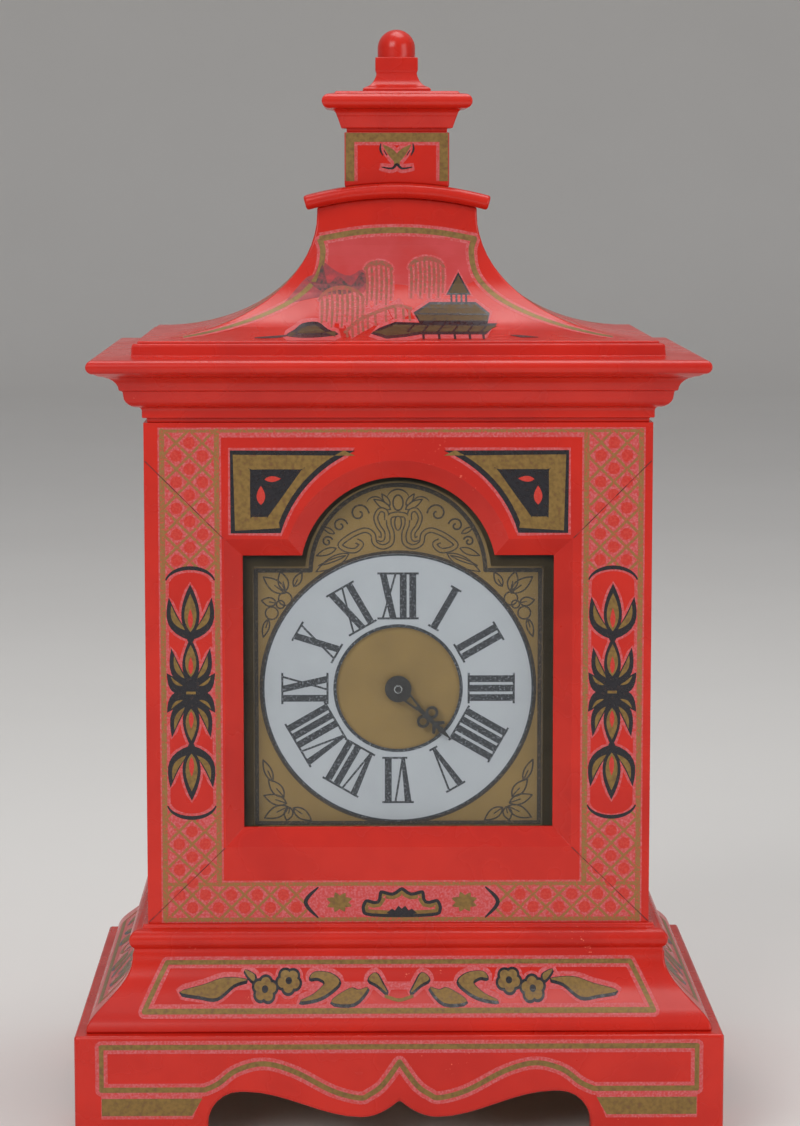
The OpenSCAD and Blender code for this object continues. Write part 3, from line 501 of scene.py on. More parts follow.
@dataclass(frozen=True)
class PaneGlass:
    """Clear window glass with a trace of dust.

    Attributes:
        name: The material's name.
        tint: The glass colour.
    """

    name: str
    tint: Colour

    def make(self) -> bpy.types.Material:
        """Build the material.

        Returns:
            The new material.
        """
        material, graph, shader, at = start_material(self.name)
        wear = group_node(graph, wear_group(), {"Vector": at, "Scale": 40.0, "Amount": 0.1})
        graph.tree.links.new(graph.ramp(wear.outputs["Cloud"], 0.4, 0.8, 0.0, 0.05),
                             shader.inputs["Roughness"])
        shader.inputs["Base Color"].default_value = (*self.tint, 1.0)
        shader.inputs["Transmission Weight"].default_value = 1.0
        shader.inputs["Specular IOR Level"].default_value = 0.2
        shader.inputs["IOR"].default_value = 1.3
        clear = graph.add("ShaderNodeBsdfTransparent", {"Color": (*self.tint, 1.0)})
        path = graph.add("ShaderNodeLightPath")
        mix = graph.add("ShaderNodeMixShader", {0: path.outputs["Is Shadow Ray"], 1: shader.outputs["BSDF"],
                                                2: clear.outputs["BSDF"]})
        graph.tree.links.new(mix.outputs["Shader"], graph.tree.nodes["Material Output"].inputs["Surface"])
        return material


class Finish(Enum):
    """Every finish on the clock, with the record's slot that it belongs to."""

    LACQUER = ("lacquer", Lacquer("coral_lacquer", (0.60, 0.020, 0.009), (0.50, 0.013, 0.006),
                                  (0.74, 0.14, 0.09), 0.22, 0.24))
    PINK = ("lacquer", BrokenPaint("pink_scumble", (0.62, 0.145, 0.160), (0.58, 0.036, 0.030), 0.66, 1500.0,
                                   0.0, 0.4, 0.4))
    GOLD = ("lacquer", BrokenPaint("gold_paint", (0.265, 0.160, 0.042), (0.17, 0.08, 0.026), 0.97, 900.0,
                                   0.3, 0.42))
    FAINT_GOLD = ("lacquer", BrokenPaint("rubbed_gold", (0.33, 0.17, 0.050), (0.50, 0.085, 0.040), 0.82,
                                         1500.0,
                                         0.25, 0.45))
    DARK_GOLD = ("lacquer", BrokenPaint("dark_gold", (0.105, 0.062, 0.020), (0.04, 0.025, 0.012), 0.92,
                                        800.0, 0.3, 0.45))
    TREE = ("lacquer", BrokenPaint("willow_gold", (0.235, 0.105, 0.048), (0.50, 0.060, 0.052), 0.76, 1100.0,
                                   0.2, 0.45, 0.4))
    # Painted sheen: a pinker coat high on the roof front that stands in for reflected light.
    PAINTED_SHEEN = ("lacquer", BrokenPaint("rose_painted_sheen", (0.56, 0.050, 0.058), (0.56, 0.026, 0.020), 0.7, 90.0, 0.0,
                                   0.4, 0.6))
    SMUDGE = ("lacquer", BrokenPaint("hill_wash", (0.20, 0.035, 0.042), (0.46, 0.040, 0.045), 0.66, 420.0,
                                     0.0, 0.4, 0.4))
    SMUDGE_DARK = ("lacquer", BrokenPaint("hill_shade", (0.055, 0.035, 0.032), (0.26, 0.040, 0.045), 0.66,
                                          900.0,
                                          0.0, 0.4, 0.3))
    BLACK = ("lacquer", BrokenPaint("black_outline", (0.012, 0.011, 0.016), (0.03, 0.018, 0.018), 0.95, 700.0,
                                    0.0, 0.3))
    PETAL = ("lacquer", BrokenPaint("petal_red", (0.62, 0.045, 0.028), (0.56, 0.022, 0.012), 0.75, 1500.0))
    SEAM = ("lacquer", BrokenPaint("open_joint", (0.055, 0.014, 0.010), (0.35, 0.018, 0.010), 0.8, 260.0))
    BARE = ("bare_wood", BareWood("beech_inside", (0.50, 0.33, 0.19), (0.33, 0.19, 0.10)))
    GLASS = ("glass", PaneGlass("pane_glass", (0.93, 0.96, 0.96)))
    # Spacer colour is the dial brass darkened as painted shade, for its face in the dark behind the frame.
    MASK = ("black_paint", Metal("spacer_brass_painted_shade", (0.12, 0.078, 0.034), (0.035, 0.025, 0.014), 0.4, 0.5,
                                 age=0.5))
    # Dial brass is set darker than clean brass, as painted shade behind the glass.
    DIAL = ("dial_brass", Metal("dial_gilt_painted_shade", (0.235, 0.142, 0.042), (0.11, 0.066, 0.022), 0.35, 0.45,
                                age=0.3))
    # Chapter ring colour is a mid-grey, darker than clean silvering, as painted shade behind the glass.
    RING = ("silvered", Metal("silvered_ring_painted_shade", (0.37, 0.375, 0.40), (0.27, 0.275, 0.30), 0.15, 0.5,
                              (1.0, 1.0, 1.0), 0.22))
    INK = ("blued_steel", BrokenPaint("numeral_black", (0.012, 0.014, 0.022), (0.16, 0.17, 0.19), 0.9, 1500.0,
                                      0.0, 0.45))
    LINE = ("dial_brass", BrokenPaint("engraved_line", (0.026, 0.015, 0.010), (0.09, 0.052, 0.022), 0.93,
                                      1200.0,
                                      0.1, 0.5))
    BLUED = ("blued_steel", Metal("blued_hand", (0.016, 0.014, 0.015), (0.010, 0.008, 0.008), 0.25, 0.5))
    BRASS = ("brass", Metal("turned_brass", (0.72, 0.50, 0.20), (0.30, 0.18, 0.07), 1.0, 0.28))
    STEEL = ("steel", Metal("ground_steel", (0.52, 0.53, 0.55), (0.22, 0.19, 0.17), 1.0, 0.27))

    @property
    def slot(self) -> str:
        """The record's material slot."""
        return self.value[0]

    def material(self) -> bpy.types.Material:
        """The material, built on first use."""
        recipe = self.value[1]
        return bpy.data.materials.get(recipe.name) or recipe.make()


# ---- Flat outlines, in millimetres ----


def arc_points(centre: Point, radii: Point, start: float, end: float, count: int = 24) -> Outline:
    """Points along part of an ellipse.

    Args:
        centre: Its centre.
        radii: Half its width and half its height.
        start: First angle in degrees, anticlockwise from the right.
        end: Last angle in degrees.
        count: How many steps.

    Returns:
        The points.
    """
    angles = [math.radians(start + (end - start) * i / count) for i in range(count + 1)]
    return [(centre[0] + radii[0] * math.cos(a), centre[1] + radii[1] * math.sin(a)) for a in angles]


def disc(centre: Point, radius: float, count: int = 28) -> Outline:
    """A round spot."""
    return arc_points(centre, (radius, radius), 0.0, 360.0 * (count - 1) / count, count - 1)


def box(left: float, low: float, right: float, high: float) -> Outline:
    """An upright rectangle."""
    return [(left, low), (right, low), (right, high), (left, high)]


def smooth(points: Sequence[Point], steps: int = 6, closed: bool = False) -> Outline:
    """A smooth line through points.

    Args:
        points: The points that it passes through.
        steps: Steps between two of them.
        closed: Whether it returns to its start.

    Returns:
        The points of the line.
    """
    n = len(points)
    line: Outline = []
    for i in range(n if closed else n - 1):
        a, b, c, d = (points[(i + k) % n] if closed else points[min(max(i + k, 0), n - 1)] for k in (-1, 0,
                                                                                                     1, 2))
        for step in range(steps):
            t = step / steps
            line.append(tuple(0.5 * (2 * b[k] + (c[k] - a[k]) * t + (2 * a[k] - 5 * b[k] + 4 * c[k] - d[k])
                                     * t * t
                                     + (3 * b[k] - a[k] - 3 * c[k] + d[k]) * t ** 3) for k in (0, 1)))
    if not closed:
        line.append(tuple(points[-1]))
    return line


def stroke(points: Sequence[Point], width: float, taper: float = 1.0) -> Outline:
    """A brush stroke along a line.

    Args:
        points: The line.
        width: The stroke's full width.
        taper: Width at both ends as a share of the full width.

    Returns:
        The stroke's outline.
    """
    left, right = [], []
    last = len(points) - 1
    for i, (x, y) in enumerate(points):
        x0, y0 = points[max(i - 1, 0)]
        x1, y1 = points[min(i + 1, last)]
        size = math.hypot(x1 - x0, y1 - y0) or 1.0
        nx, ny = (y0 - y1) / size, (x1 - x0) / size
        half = width / 2 * (taper + (1 - taper) * math.sin(math.pi * i / last))
        left.append((x + nx * half, y + ny * half))
        right.append((x - nx * half, y - ny * half))
    return left + right[::-1]


def ring(outline: Outline, width: float) -> list[Outline]:
    """A line of even width round a closed outline, as short overlapping strokes."""
    n = len(outline)
    return [stroke([outline[i], outline[(i + 1) % n]], width) for i in range(n)] + \
        [disc(p, width / 2, 10) for p in outline]


def line(points: Sequence[Point], width: float) -> list[Outline]:
    """A line of even width with round joints."""
    return [stroke([a, b], width) for a, b in zip(points, points[1:])] + \
        [disc(p, width / 2, 10) for p in points]


def grown(outline: Outline, out: float) -> Outline:
    """An outline moved outwards by a distance along its own normals.

    Args:
        outline: The outline to move.
        out: How far it moves; less than zero moves it inwards.

    Returns:
        The moved outline.
    """
    area = sum(a[0] * b[1] - b[0] * a[1] for a, b in zip(outline, outline[1:] + outline[:1]))
    side = math.copysign(1.0, area)
    moved: Outline = []
    for i, (x, y) in enumerate(outline):
        (x0, y0), (x1, y1) = outline[i - 1], outline[(i + 1) % len(outline)]
        size = math.hypot(x1 - x0, y1 - y0) or 1.0
        moved.append((x + side * out * (y1 - y0) / size, y - side * out * (x1 - x0) / size))
    return moved


def mirrored(outlines: Iterable[Outline], axis: float = 0.0) -> list[Outline]:
    """Outlines mirrored left to right about an upright axis."""
    return [[(2 * axis - x, y) for x, y in outline] for outline in outlines]


def flipped(outlines: Iterable[Outline], level: float) -> list[Outline]:
    """Outlines mirrored top to bottom about a level."""
    return [[(x, 2 * level - y) for x, y in outline] for outline in outlines]


def moved(outline: Outline, shift: Point, turn: float = 0.0, scale: float = 1.0) -> Outline:
    """An outline scaled, turned about the origin and then shifted.

    Args:
        outline: The outline.
        shift: How far it is shifted.
        turn: Turn in degrees, anticlockwise.
        scale: Its scale.

    Returns:
        The moved outline.
    """
    c, s = scale * math.cos(math.radians(turn)), scale * math.sin(math.radians(turn))
    return [(shift[0] + c * x - s * y, shift[1] + s * x + c * y) for x, y in outline]


def petal(root: Point, tip: Point, width: float, lean: float = 0.0) -> Outline:
    """A pointed leaf.

    Args:
        root: Where it grows from.
        tip: Its point.
        width: Its full width.
        lean: How far its middle bows to the left, as a share of its length.

    Returns:
        The leaf's outline.
    """
    dx, dy = tip[0] - root[0], tip[1] - root[1]
    steps = [i / 8 for i in range(9)]
    size = math.hypot(dx, dy)
    nx, ny = -dy / size, dx / size

    def at(t: float, side: float) -> Point:
        """A point on one edge of the leaf."""
        off = side * width / 2 * math.sin(math.pi * t ** 0.85) ** 0.9 + lean * size * math.sin(math.pi * t)
        return (root[0] + dx * t + nx * off, root[1] + dy * t + ny * off)

    return [at(t, -1.0) for t in steps] + [at(t, 1.0) for t in steps[-2:0:-1]]


# ---- Paint on shaped faces ----


@dataclass(frozen=True)
class Face:
    """An outside face of the case: how far it stands out at each height, and which way it looks.

    Attributes:
        profile: Height and distance from the clock's middle, from bottom to top.
        turn: Degrees that the face is turned from the front, anticlockwise from above.
    """

    profile: tuple[Point, ...]
    turn: float = 0.0

    def slopes(self) -> list[Point]:
        """The outward and upward parts of the normal at each point of the profile.

        Returns:
            One pair for each point, averaged over the two sides that meet there.
        """
        flats = []
        for (z0, out0), (z1, out1) in zip(self.profile, self.profile[1:]):
            size = math.hypot(z1 - z0, out1 - out0)
            flats.append(((z1 - z0) / size, (out0 - out1) / size))
        ends = [flats[0], *flats, flats[-1]]
        return [((a[0] + b[0]) / 2, (a[1] + b[1]) / 2) for a, b in zip(ends, ends[1:])]

    def place(self, along: float, up: float, lift: float) -> Vector:
        """A point on the face.

        Args:
            along: Distance to the right of the face's middle.
            up: Height.
            lift: How far it stands proud.

        Returns:
            The point in metres.
        """
        slopes = self.slopes()
        index = 0
        while index < len(self.profile) - 2 and up > self.profile[index + 1][0]:
            index += 1
        (z0, out0), (z1, out1) = self.profile[index], self.profile[index + 1]
        t = min(max((up - z0) / (z1 - z0), 0.0), 1.0)
        out = out0 + (out1 - out0) * t
        n_out = slopes[index][0] * (1 - t) + slopes[index + 1][0] * t
        n_up = slopes[index][1] * (1 - t) + slopes[index + 1][1] * t
        point = Vector((along, -(out + lift * n_out), up + lift * n_up))
        return Matrix.Rotation(math.radians(self.turn), 3, "Z") @ point * MM


@dataclass
class Layer:
    """Shapes of one paint on one face.

    Attributes:
        face: The face that they lie on.
        shapes: Outlines that are painted.
        gaps: Outlines that are left bare.
        within: If given, paint stays inside these outlines.
    """

    face: Face
    shapes: list[Outline]
    gaps: list[Outline] = field(default_factory=list)
    within: list[Outline] = field(default_factory=list)

    def triangles(self) -> tuple[list[Point], list[tuple[int, ...]]]:
        """The painted area as points and triangles.

        Returns:
            The points, and the triangles as indices into them.
        """
        points: list[Vector] = []
        edges: list[tuple[int, int]] = []
        for outline in self.shapes + self.gaps + self.within:
            first, count = len(points), len(outline)
            points.extend(Vector(p) for p in outline)
            edges.extend((first + i, first + (i + 1) % count) for i in range(count))
        us, vs = [p.x for p in points], [p.y for p in points]
        for height, _ in self.face.profile[1:-1]:
            if min(vs) < height < max(vs):
                edges.append((len(points), len(points) + 1))
                points += [Vector((min(us) - 1, height)), Vector((max(us) + 1, height))]
        out, _, tris, _, _, _ = delaunay_2d_cdt(points, edges, [], 0, 1e-5, False)
        places = np.array([(p.x, p.y) for p in out])
        corners = places[np.array([tuple(t) for t in tris])]
        middles = corners.mean(1)
        painted = covered(middles, self.shapes) & ~covered(middles, self.gaps)
        if self.within:
            painted &= covered(middles, self.within)
        a, b, c = corners[:, 0], corners[:, 1], corners[:, 2]
        area = (b[:, 0] - a[:, 0]) * (c[:, 1] - a[:, 1]) - (b[:, 1] - a[:, 1]) * (c[:, 0] - a[:, 0])
        keep = [tuple(tris[i]) if area[i] > 0 else tuple(tris[i])[::-1]
                for i in np.nonzero(painted & (abs(area) > 1e-7))[0]]
        return [(p.x, p.y) for p in out], keep


def covered(places: np.ndarray, outlines: Sequence[Outline]) -> np.ndarray:
    """Which places lie inside any of some outlines, however the outlines cross.

    Args:
        places: Points, one a row.
        outlines: Closed outlines.

    Returns:
        True for each place inside.
    """
    inside = np.zeros(len(places), bool)
    for outline in outlines:
        line = np.array(outline)
        near = np.nonzero(~inside & (places >= line.min(0)).all(1) & (places <= line.max(0)).all(1))[0]
        if not len(near):
            continue
        x, y = places[near, 0][:, None], places[near, 1][:, None]
        (x0, y0), (x1, y1) = line.T, np.roll(line, -1, 0).T
        side = (x1 - x0) * (y - y0) - (x - x0) * (y1 - y0)
        turns = ((y0 <= y) & (y1 > y) & (side > 0)).sum(1) - ((y0 > y) & (y1 <= y) & (side < 0)).sum(1)
        inside[near] = turns != 0
    return inside


def finish_mesh(name: str, mesh: bpy.types.Mesh, finish: Finish, body: str,
                replaces: Sequence[str] = ()) -> bpy.types.Object:
    """Link a mesh as a finished piece that rides on a body.

    Args:
        name: The piece's name.
        mesh: Its mesh, in place.
        finish: Its finish.
        body: The body that it moves with.
        replaces: The CAD nodes that it stands for.

    Returns:
        The piece.
    """
    piece = bpy.data.objects.new(name, mesh)
    bpy.context.scene.collection.objects.link(piece)
    mesh.materials.clear()
    mesh.materials.append(finish.material())
    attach(piece, body)
    if replaces:
        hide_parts(*replaces)
    log.info("%s: %d faces on %s", name, len(mesh.polygons), body)
    return piece


def paint(name: str, layers: Sequence[Layer], finish: Finish, lift: float,
          body: str = "case") -> bpy.types.Object:
    """Lay one coat of paint as a thin closed skin.

    Args:
        name: The piece's name.
        layers: What is painted, face by face.
        finish: The paint.
        lift: How far its surface stands proud, in millimetres.
        body: The body that it moves with.

    Returns:
        The painted piece.
    """
    under = -0.05
    places: list[Vector] = []
    polygons: list[tuple[int, ...]] = []
    for layer in layers:
        points, tris = layer.triangles()
        used = sorted({i for tri in tris for i in tri})
        start, count = len(places), len(used)
        top = {i: start + k for k, i in enumerate(used)}
        places += [layer.face.place(*points[i], lift) for i in used]
        places += [layer.face.place(*points[i], under) for i in used]
        borders: dict[tuple[int, int], bool] = {}
        for a, b, c in tris:
            polygons += [(top[a], top[b], top[c]), (top[c] + count, top[b] + count, top[a] + count)]
            for edge in ((a, b), (b, c), (c, a)):
                borders[edge] = True
        for a, b in borders:
            if (b, a) not in borders:
                polygons.append((top[b], top[a], top[a] + count, top[b] + count))
    mesh = bpy.data.meshes.new(name)
    mesh.from_pydata(places, [], polygons)
    mesh.validate()
    return finish_mesh(name, mesh, finish, body)


# ---- Lacquered woodwork ----


@dataclass
class Woodwork:
    """Boards of the same body, joined at their mitres and eased along their arrises.

    Attributes:
        name: The piece's name.
        nodes: The CAD nodes that it is made from and stands for.
        ease: Width of the eased arris in millimetres.
        body: The body that it moves with.
        finish: Its finish.
        seams: Planes, as an axis and a place, where boards butt and stay nearly sharp.
        inset: How far its outside is kept in, so that paint has room.
    """

    name: str
    nodes: tuple[str, ...]
    ease: float = 0.6
    body: str = "case"
    finish: Finish = Finish.LACQUER
    seams: tuple[tuple[int, float], ...] = ()
    inset: float = 0.0

    def joined(self) -> bmesh.types.BMesh:
        """The boards as one shell, without the faces inside its mitres.

        Returns:
            The merged shell.
        """
        shell = bmesh.new()
        owner = shell.faces.layers.int.new("owner")
        for index, node in enumerate(self.nodes):
            before = len(shell.faces)
            shell.from_mesh(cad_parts[node].data)
            shell.faces.ensure_lookup_table()
            for face in shell.faces[before:]:
                face[owner] = index
        planes: dict[tuple[int, ...], set[int]] = {}

        def key(face: bmesh.types.BMFace, sign: int) -> tuple[int, ...]:
            """A face's plane, or the same plane seen from behind."""
            n = face.normal * sign
            return (*(round(c * 50) for c in n), round(n.dot(face.verts[0].co) * 2e4))

        slanted = [f for f in shell.faces if sum(abs(c) > 0.2 for c in f.normal) >= 2
                   and f.calc_area() > 1e-12]
        for face in slanted:
            planes.setdefault(key(face, 1), set()).add(face[owner])
        inside = [f for f in slanted if planes.get(key(f, -1), set()) - {f[owner]}]
        bmesh.ops.delete(shell, geom=inside, context="FACES")
        bmesh.ops.remove_doubles(shell, verts=shell.verts, dist=4e-6)
        bmesh.ops.dissolve_limit(shell, angle_limit=math.radians(0.8), verts=shell.verts, edges=shell.edges)
        return shell

    def build(self) -> bpy.types.Object:
        """Make the finished piece.

        Returns:
            The finished object.
        """
        shell = self.joined()
        weight = shell.edges.layers.float.new("bevel_weight_edge")
        for edge in shell.edges:
            if len(edge.link_faces) == 2 and edge.calc_face_angle(0.0) > math.radians(32):
                on_seam = any(all(abs(v.co[axis] / MM - place) < 0.02 for v in edge.verts)
                              for axis, place in self.seams)
                edge[weight] = 0.12 if on_seam else 1.0
        mesh = bpy.data.meshes.new(self.name)
        shell.to_mesh(mesh)
        shell.free()
        if self.inset:
            half = max(abs(v.co.x) for v in mesh.vertices)
            for v in mesh.vertices:
                v.co.x *= 1 - self.inset * MM / half
                v.co.y *= 1 - self.inset * MM / half
        draft = bpy.data.objects.new(self.name + "_draft", mesh)
        bpy.context.scene.collection.objects.link(draft)
        mesh.shade_smooth()
        mesh.set_sharp_from_angle(angle=math.radians(40))
        bevel = draft.modifiers.new("ease", "BEVEL")
        bevel.limit_method = "WEIGHT"
        bevel.width = self.ease * MM
        bevel.segments = 3
        bevel.use_clamp_overlap = True
        even = draft.modifiers.new("even", "WEIGHTED_NORMAL")
        even.keep_sharp = True
        result = bpy.data.meshes.new_from_object(draft.evaluated_get(bpy.context.evaluated_depsgraph_get()))
        result.name = self.name
        bpy.data.objects.remove(draft)
        bpy.data.meshes.remove(mesh)
        return finish_mesh(self.name, result, self.finish, self.body, self.nodes)


# ---- Repeated parts ----


@dataclass
class Repeater:
    """A geometry node tree that sets one small part at every point of a mesh.

    Attributes:
        name: The tree's name.
        sizes: Named float inputs and their values in metres or degrees.
        finish: The finish of every part.
    """

    name: str
    sizes: dict[str, float]
    finish: Finish

    def part(self, graph: Graph, source: bpy.types.Node) -> bpy.types.NodeSocket:
        """Nodes of one part, along Z with its foot at the origin.

        Args:
            graph: The tree's graph.
            source: The tree's input node.

        Returns:
            The part's geometry socket.
        """
        raise NotImplementedError

    def tilt(self, graph: Graph) -> bpy.types.NodeSocket:
        """The rotation that every part gets.

        Args:
            graph: The tree's graph.

        Returns:
            The rotation socket.
        """
        turn = graph.add("FunctionNodeRandomValue", {"Seed": 7}, data_type="FLOAT")
        turn.inputs[3].default_value = math.tau
        spin = graph.add("ShaderNodeCombineXYZ", {"X": math.radians(90), "Z": 0.0})
        first = graph.add("FunctionNodeEulerToRotation", {"Euler": spin.outputs[0]})
        roll = graph.add("ShaderNodeCombineXYZ", {"Z": turn.outputs[1]})
        second = graph.add("FunctionNodeEulerToRotation", {"Euler": roll.outputs[0]})
        both = graph.add("FunctionNodeRotateRotation",
                         {"Rotation": first.outputs[0], "Rotate By": second.outputs[0]},
                         rotation_space="LOCAL")
        return both.outputs[0]

    def tree(self) -> bpy.types.NodeTree:
        """Build the node tree.

        Returns:
            The finished node tree.
        """
        tree = bpy.data.node_groups.new(self.name, "GeometryNodeTree")
        tree.interface.new_socket("Geometry", in_out="INPUT", socket_type="NodeSocketGeometry")
        for key, value in self.sizes.items():
            tree.interface.new_socket(key, in_out="INPUT",
                                      socket_type="NodeSocketFloat").default_value = value
        tree.interface.new_socket("Geometry", in_out="OUTPUT", socket_type="NodeSocketGeometry")
        graph = Graph(tree)
        source = graph.add("NodeGroupInput")
        target = graph.add("NodeGroupOutput")
        points = graph.add("GeometryNodeMeshToPoints", {"Mesh": source.outputs["Geometry"]})
        placed = graph.add("GeometryNodeInstanceOnPoints",
                           {"Points": points.outputs[0], "Instance": self.part(graph, source),
                            "Rotation": self.tilt(graph)})
        real = graph.add("GeometryNodeRealizeInstances", {"Geometry": placed.outputs[0]})
        dressed = graph.add("GeometryNodeSetMaterial",
                            {"Geometry": real.outputs[0], "Material": self.finish.material()})
        tree.links.new(dressed.outputs[0], target.inputs["Geometry"])
        return tree

    def build(self, name: str, places: Sequence[Vector], body: str, replaces: Sequence[str] = ()
              ) -> bpy.types.Object:
        """Set the parts at their places and make them a plain mesh.

        Args:
            name: The piece's name.
            places: Where each part's foot goes, in metres.
            body: The body that they move with.
            replaces: The CAD nodes that they stand for.

        Returns:
            The finished piece.
        """
        seeds = bpy.data.meshes.new(name + "_places")
        seeds.from_pydata(places, [], [])
        draft = bpy.data.objects.new(name + "_draft", seeds)
        bpy.context.scene.collection.objects.link(draft)
        modifier = draft.modifiers.new(self.name, "NODES")
        tree = self.tree()
        modifier.node_group = tree
        for item in tree.interface.items_tree:
            if item.in_out == "INPUT" and item.name in self.sizes:
                modifier[item.identifier] = self.sizes[item.name]
        result = bpy.data.meshes.new_from_object(draft.evaluated_get(bpy.context.evaluated_depsgraph_get()))
        result.name = name
        draft.modifiers.remove(modifier)
        bpy.data.objects.remove(draft)
        return finish_mesh(name, result, self.finish, body, replaces)


@dataclass
class SlottedScrews(Repeater):
    """Round-headed wood screws with a slot, driven from the back."""

    def part(self, graph: Graph, source: bpy.types.Node) -> bpy.types.NodeSocket:
        """A domed head with a slot, on its shank.

        Args:
            graph: The tree's graph.
            source: The tree's input node.

        Returns:
            The part's geometry socket.
        """
        size = source.outputs
        head = graph.add("GeometryNodeMeshUVSphere",
                         {"Segments": 24, "Rings": 12, "Radius": size["Head radius"]})
        squash = graph.add("ShaderNodeCombineXYZ", {"X": 1.0, "Y": 1.0, "Z": 0.55})
        dome = graph.add("GeometryNodeTransform", {"Geometry": head.outputs[0], "Scale": squash.outputs[0]})
        deep = graph.add("ShaderNodeCombineXYZ", {"X": graph.math("MULTIPLY", size["Head radius"], 3.0),
                                                  "Y": size["Slot width"], "Z": size["Head radius"]})
        blade = graph.add("GeometryNodeMeshCube", {"Size": deep.outputs[0]})
        raised = graph.add("ShaderNodeCombineXYZ", {"Z": graph.math("MULTIPLY", size["Head radius"], -0.82)})
        slot = graph.add("GeometryNodeTransform", {"Geometry": blade.outputs[0],
                                                   "Translation": raised.outputs[0]})
        cut = graph.add("GeometryNodeMeshBoolean", {"Mesh 1": dome.outputs[0], "Mesh 2": slot.outputs[0]},
                        operation="DIFFERENCE")
        shank = graph.add("GeometryNodeMeshCylinder", {"Vertices": 20, "Radius": size["Shank radius"],
                                                       "Depth": size["Shank length"]})
        sunk = graph.add("ShaderNodeCombineXYZ", {"Z": graph.math("MULTIPLY", size["Shank length"], 0.5)})
        stem = graph.add("GeometryNodeTransform", {"Geometry": shank.outputs[0],
                                                   "Translation": sunk.outputs[0]})
        both = graph.add("GeometryNodeJoinGeometry")
        graph.tree.links.new(cut.outputs[0], both.inputs[0])
        graph.tree.links.new(stem.outputs[0], both.inputs[0])
        return both.outputs[0]


@dataclass
class PaintedSpots(Repeater):
    """Round dabs of paint on an upright front face."""

    def part(self, graph: Graph, source: bpy.types.Node) -> bpy.types.NodeSocket:
        """One flat many-sided dab.

        Args:
            graph: The tree's graph.
            source: The tree's input node.

        Returns:
            The part's geometry socket.
        """
        size = source.outputs
        dab = graph.add("GeometryNodeMeshCylinder", {"Vertices": 11, "Radius": size["Radius"],
                                                     "Depth": size["Thickness"]})
        return dab.outputs[0]


def islands(node: str) -> list[tuple[Vector, Vector]]:
    """The boxes of a CAD node's separate solids, in metres.

    Args:
        node: The CAD node.

    Returns:
        Lowest and highest corner of each solid.
    """
    mesh = bmesh.new()
    mesh.from_mesh(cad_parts[node].data)
    bmesh.ops.remove_doubles(mesh, verts=mesh.verts, dist=1e-6)
    left = set(mesh.verts)
    found = []
    while left:
        stack, group = [left.pop()], []
        while stack:
            vert = stack.pop()
            group.append(vert.co.copy())
            for edge in vert.link_edges:
                other = edge.other_vert(vert)
                if other in left:
                    left.remove(other)
                    stack.append(other)
        low, high = (Vector([pick(c[k] for c in group) for k in range(3)]) for pick in (min, max))
        found.append((low, high))
    mesh.free()
    return sorted(found, key=lambda b: tuple(b[0]))


# ---- Sub-assemblies ----


def ease_in_out(t: float) -> float:
    """A smooth step from 0 to 1."""
    return t * t * (3 - 2 * t)


@dataclass
class Plinth:
    """Bracket-foot plinth, its painted frame and foot bars."""

    face_out: float = 69.18
    side_out: float = 95.15
    height: float = 34.3
    band_top: float = 31.0
    foot_line: float = 18.2
    line_w: float = 1.55
    halo: float = 1.15

    def wave(self, foot: float, crest: Point | None, dip: Point | None, cusp: float) -> Outline:
        """The right half of the lower painted line, from the middle outwards.

        Args:
            foot: Where the flat part over the foot starts.
            crest: The top of the wave, if it has one.
            dip: The bottom of the wave, if it has one.
            cusp: Height at the middle.

        Returns:
            The points of the line.
        """
        points: Outline = [(0.0, cusp)]
        if dip and crest:
            points += [(dip[0] * 0.42, dip[1] + (cusp - dip[1]) * 0.36), (dip[0] * 0.75, dip[1] + 1.0), dip,
                       (dip[0] + 8.0, dip[1] + 2.2), (crest[0] - 9.0, crest[1] - 2.4), crest,
                       (crest[0] + 8.0, crest[1] - 2.0), (foot - 4.0, self.foot_line + 1.9)]
        else:
            points += [(foot * 0.35, cusp - 0.6), (foot * 0.7, cusp - 3.4)]
        return smooth(points + [(foot, self.foot_line)], 5)

    def frame_lines(self, half: float, wave: Outline) -> list[tuple[Outline, float]]:
        """The painted frame of one side as lines and their widths.

        Args:
            half: Half the frame's width.
            wave: The right half of its lower line.

        Returns:
            Lines with their widths.
        """
        lines = [([(-half, self.band_top), (half, self.band_top)], self.line_w)]
        for side in (-1, 1):
            lines.append(([(side * half, self.band_top), (side * half, self.foot_line)], self.line_w * 0.85))
            lines.append(([(side * x, z) for x, z in wave + [(half, self.foot_line)]], self.line_w))
        return lines

    def foot_bars(self, inner: float, outer: float) -> list[Outline]:
        """The gilt bar low on each foot."""
        bar = [(inner + 3.0, 10.4), (outer, 10.4), (outer, 15.6), (inner, 15.6)]
        return [bar] + mirrored([bar])

    def build(self) -> None:
        """Make the plinth and its paint."""
        Woodwork("plinth_skirt", ("apron_front", "apron_back", "apron_sides"), ease=0.9, inset=0.1).build()
        front_wave = self.wave(57.0, (39.8, 26.0), (11.8, 15.6), 26.4)
        side_wave = self.wave(34.0, None, None, 25.4)
        jobs = [(Face(((0.0, self.face_out), (self.height, self.face_out)), turn), half, wave, inner)
                for turn, half, wave, inner in ((0.0, 87.2, front_wave, 57.8),
                                                (180.0, 87.2, front_wave, 57.8))]
        jobs += [(Face(((0.0, self.side_out), (self.height, self.side_out)), turn), 61.2, side_wave, 38.0)
                 for turn in (90.0, -90.0)]
        gold, pink = [], []
        for face, half, wave, inner in jobs:
            bars = self.foot_bars(inner, half)
            lines = self.frame_lines(half, wave)
            gold.append(Layer(face, bars + [s for pts, w in lines for s in line(pts, w)]))
            pink.append(Layer(face, [grown(b, 1.0) for b in bars]
                              + [s for pts, w in lines for s in line(pts, w + 2 * self.halo)]))
        paint("plinth_halo", pink, Finish.PINK, 0.03)
        paint("plinth_gilding", gold, Finish.GOLD, 0.055)


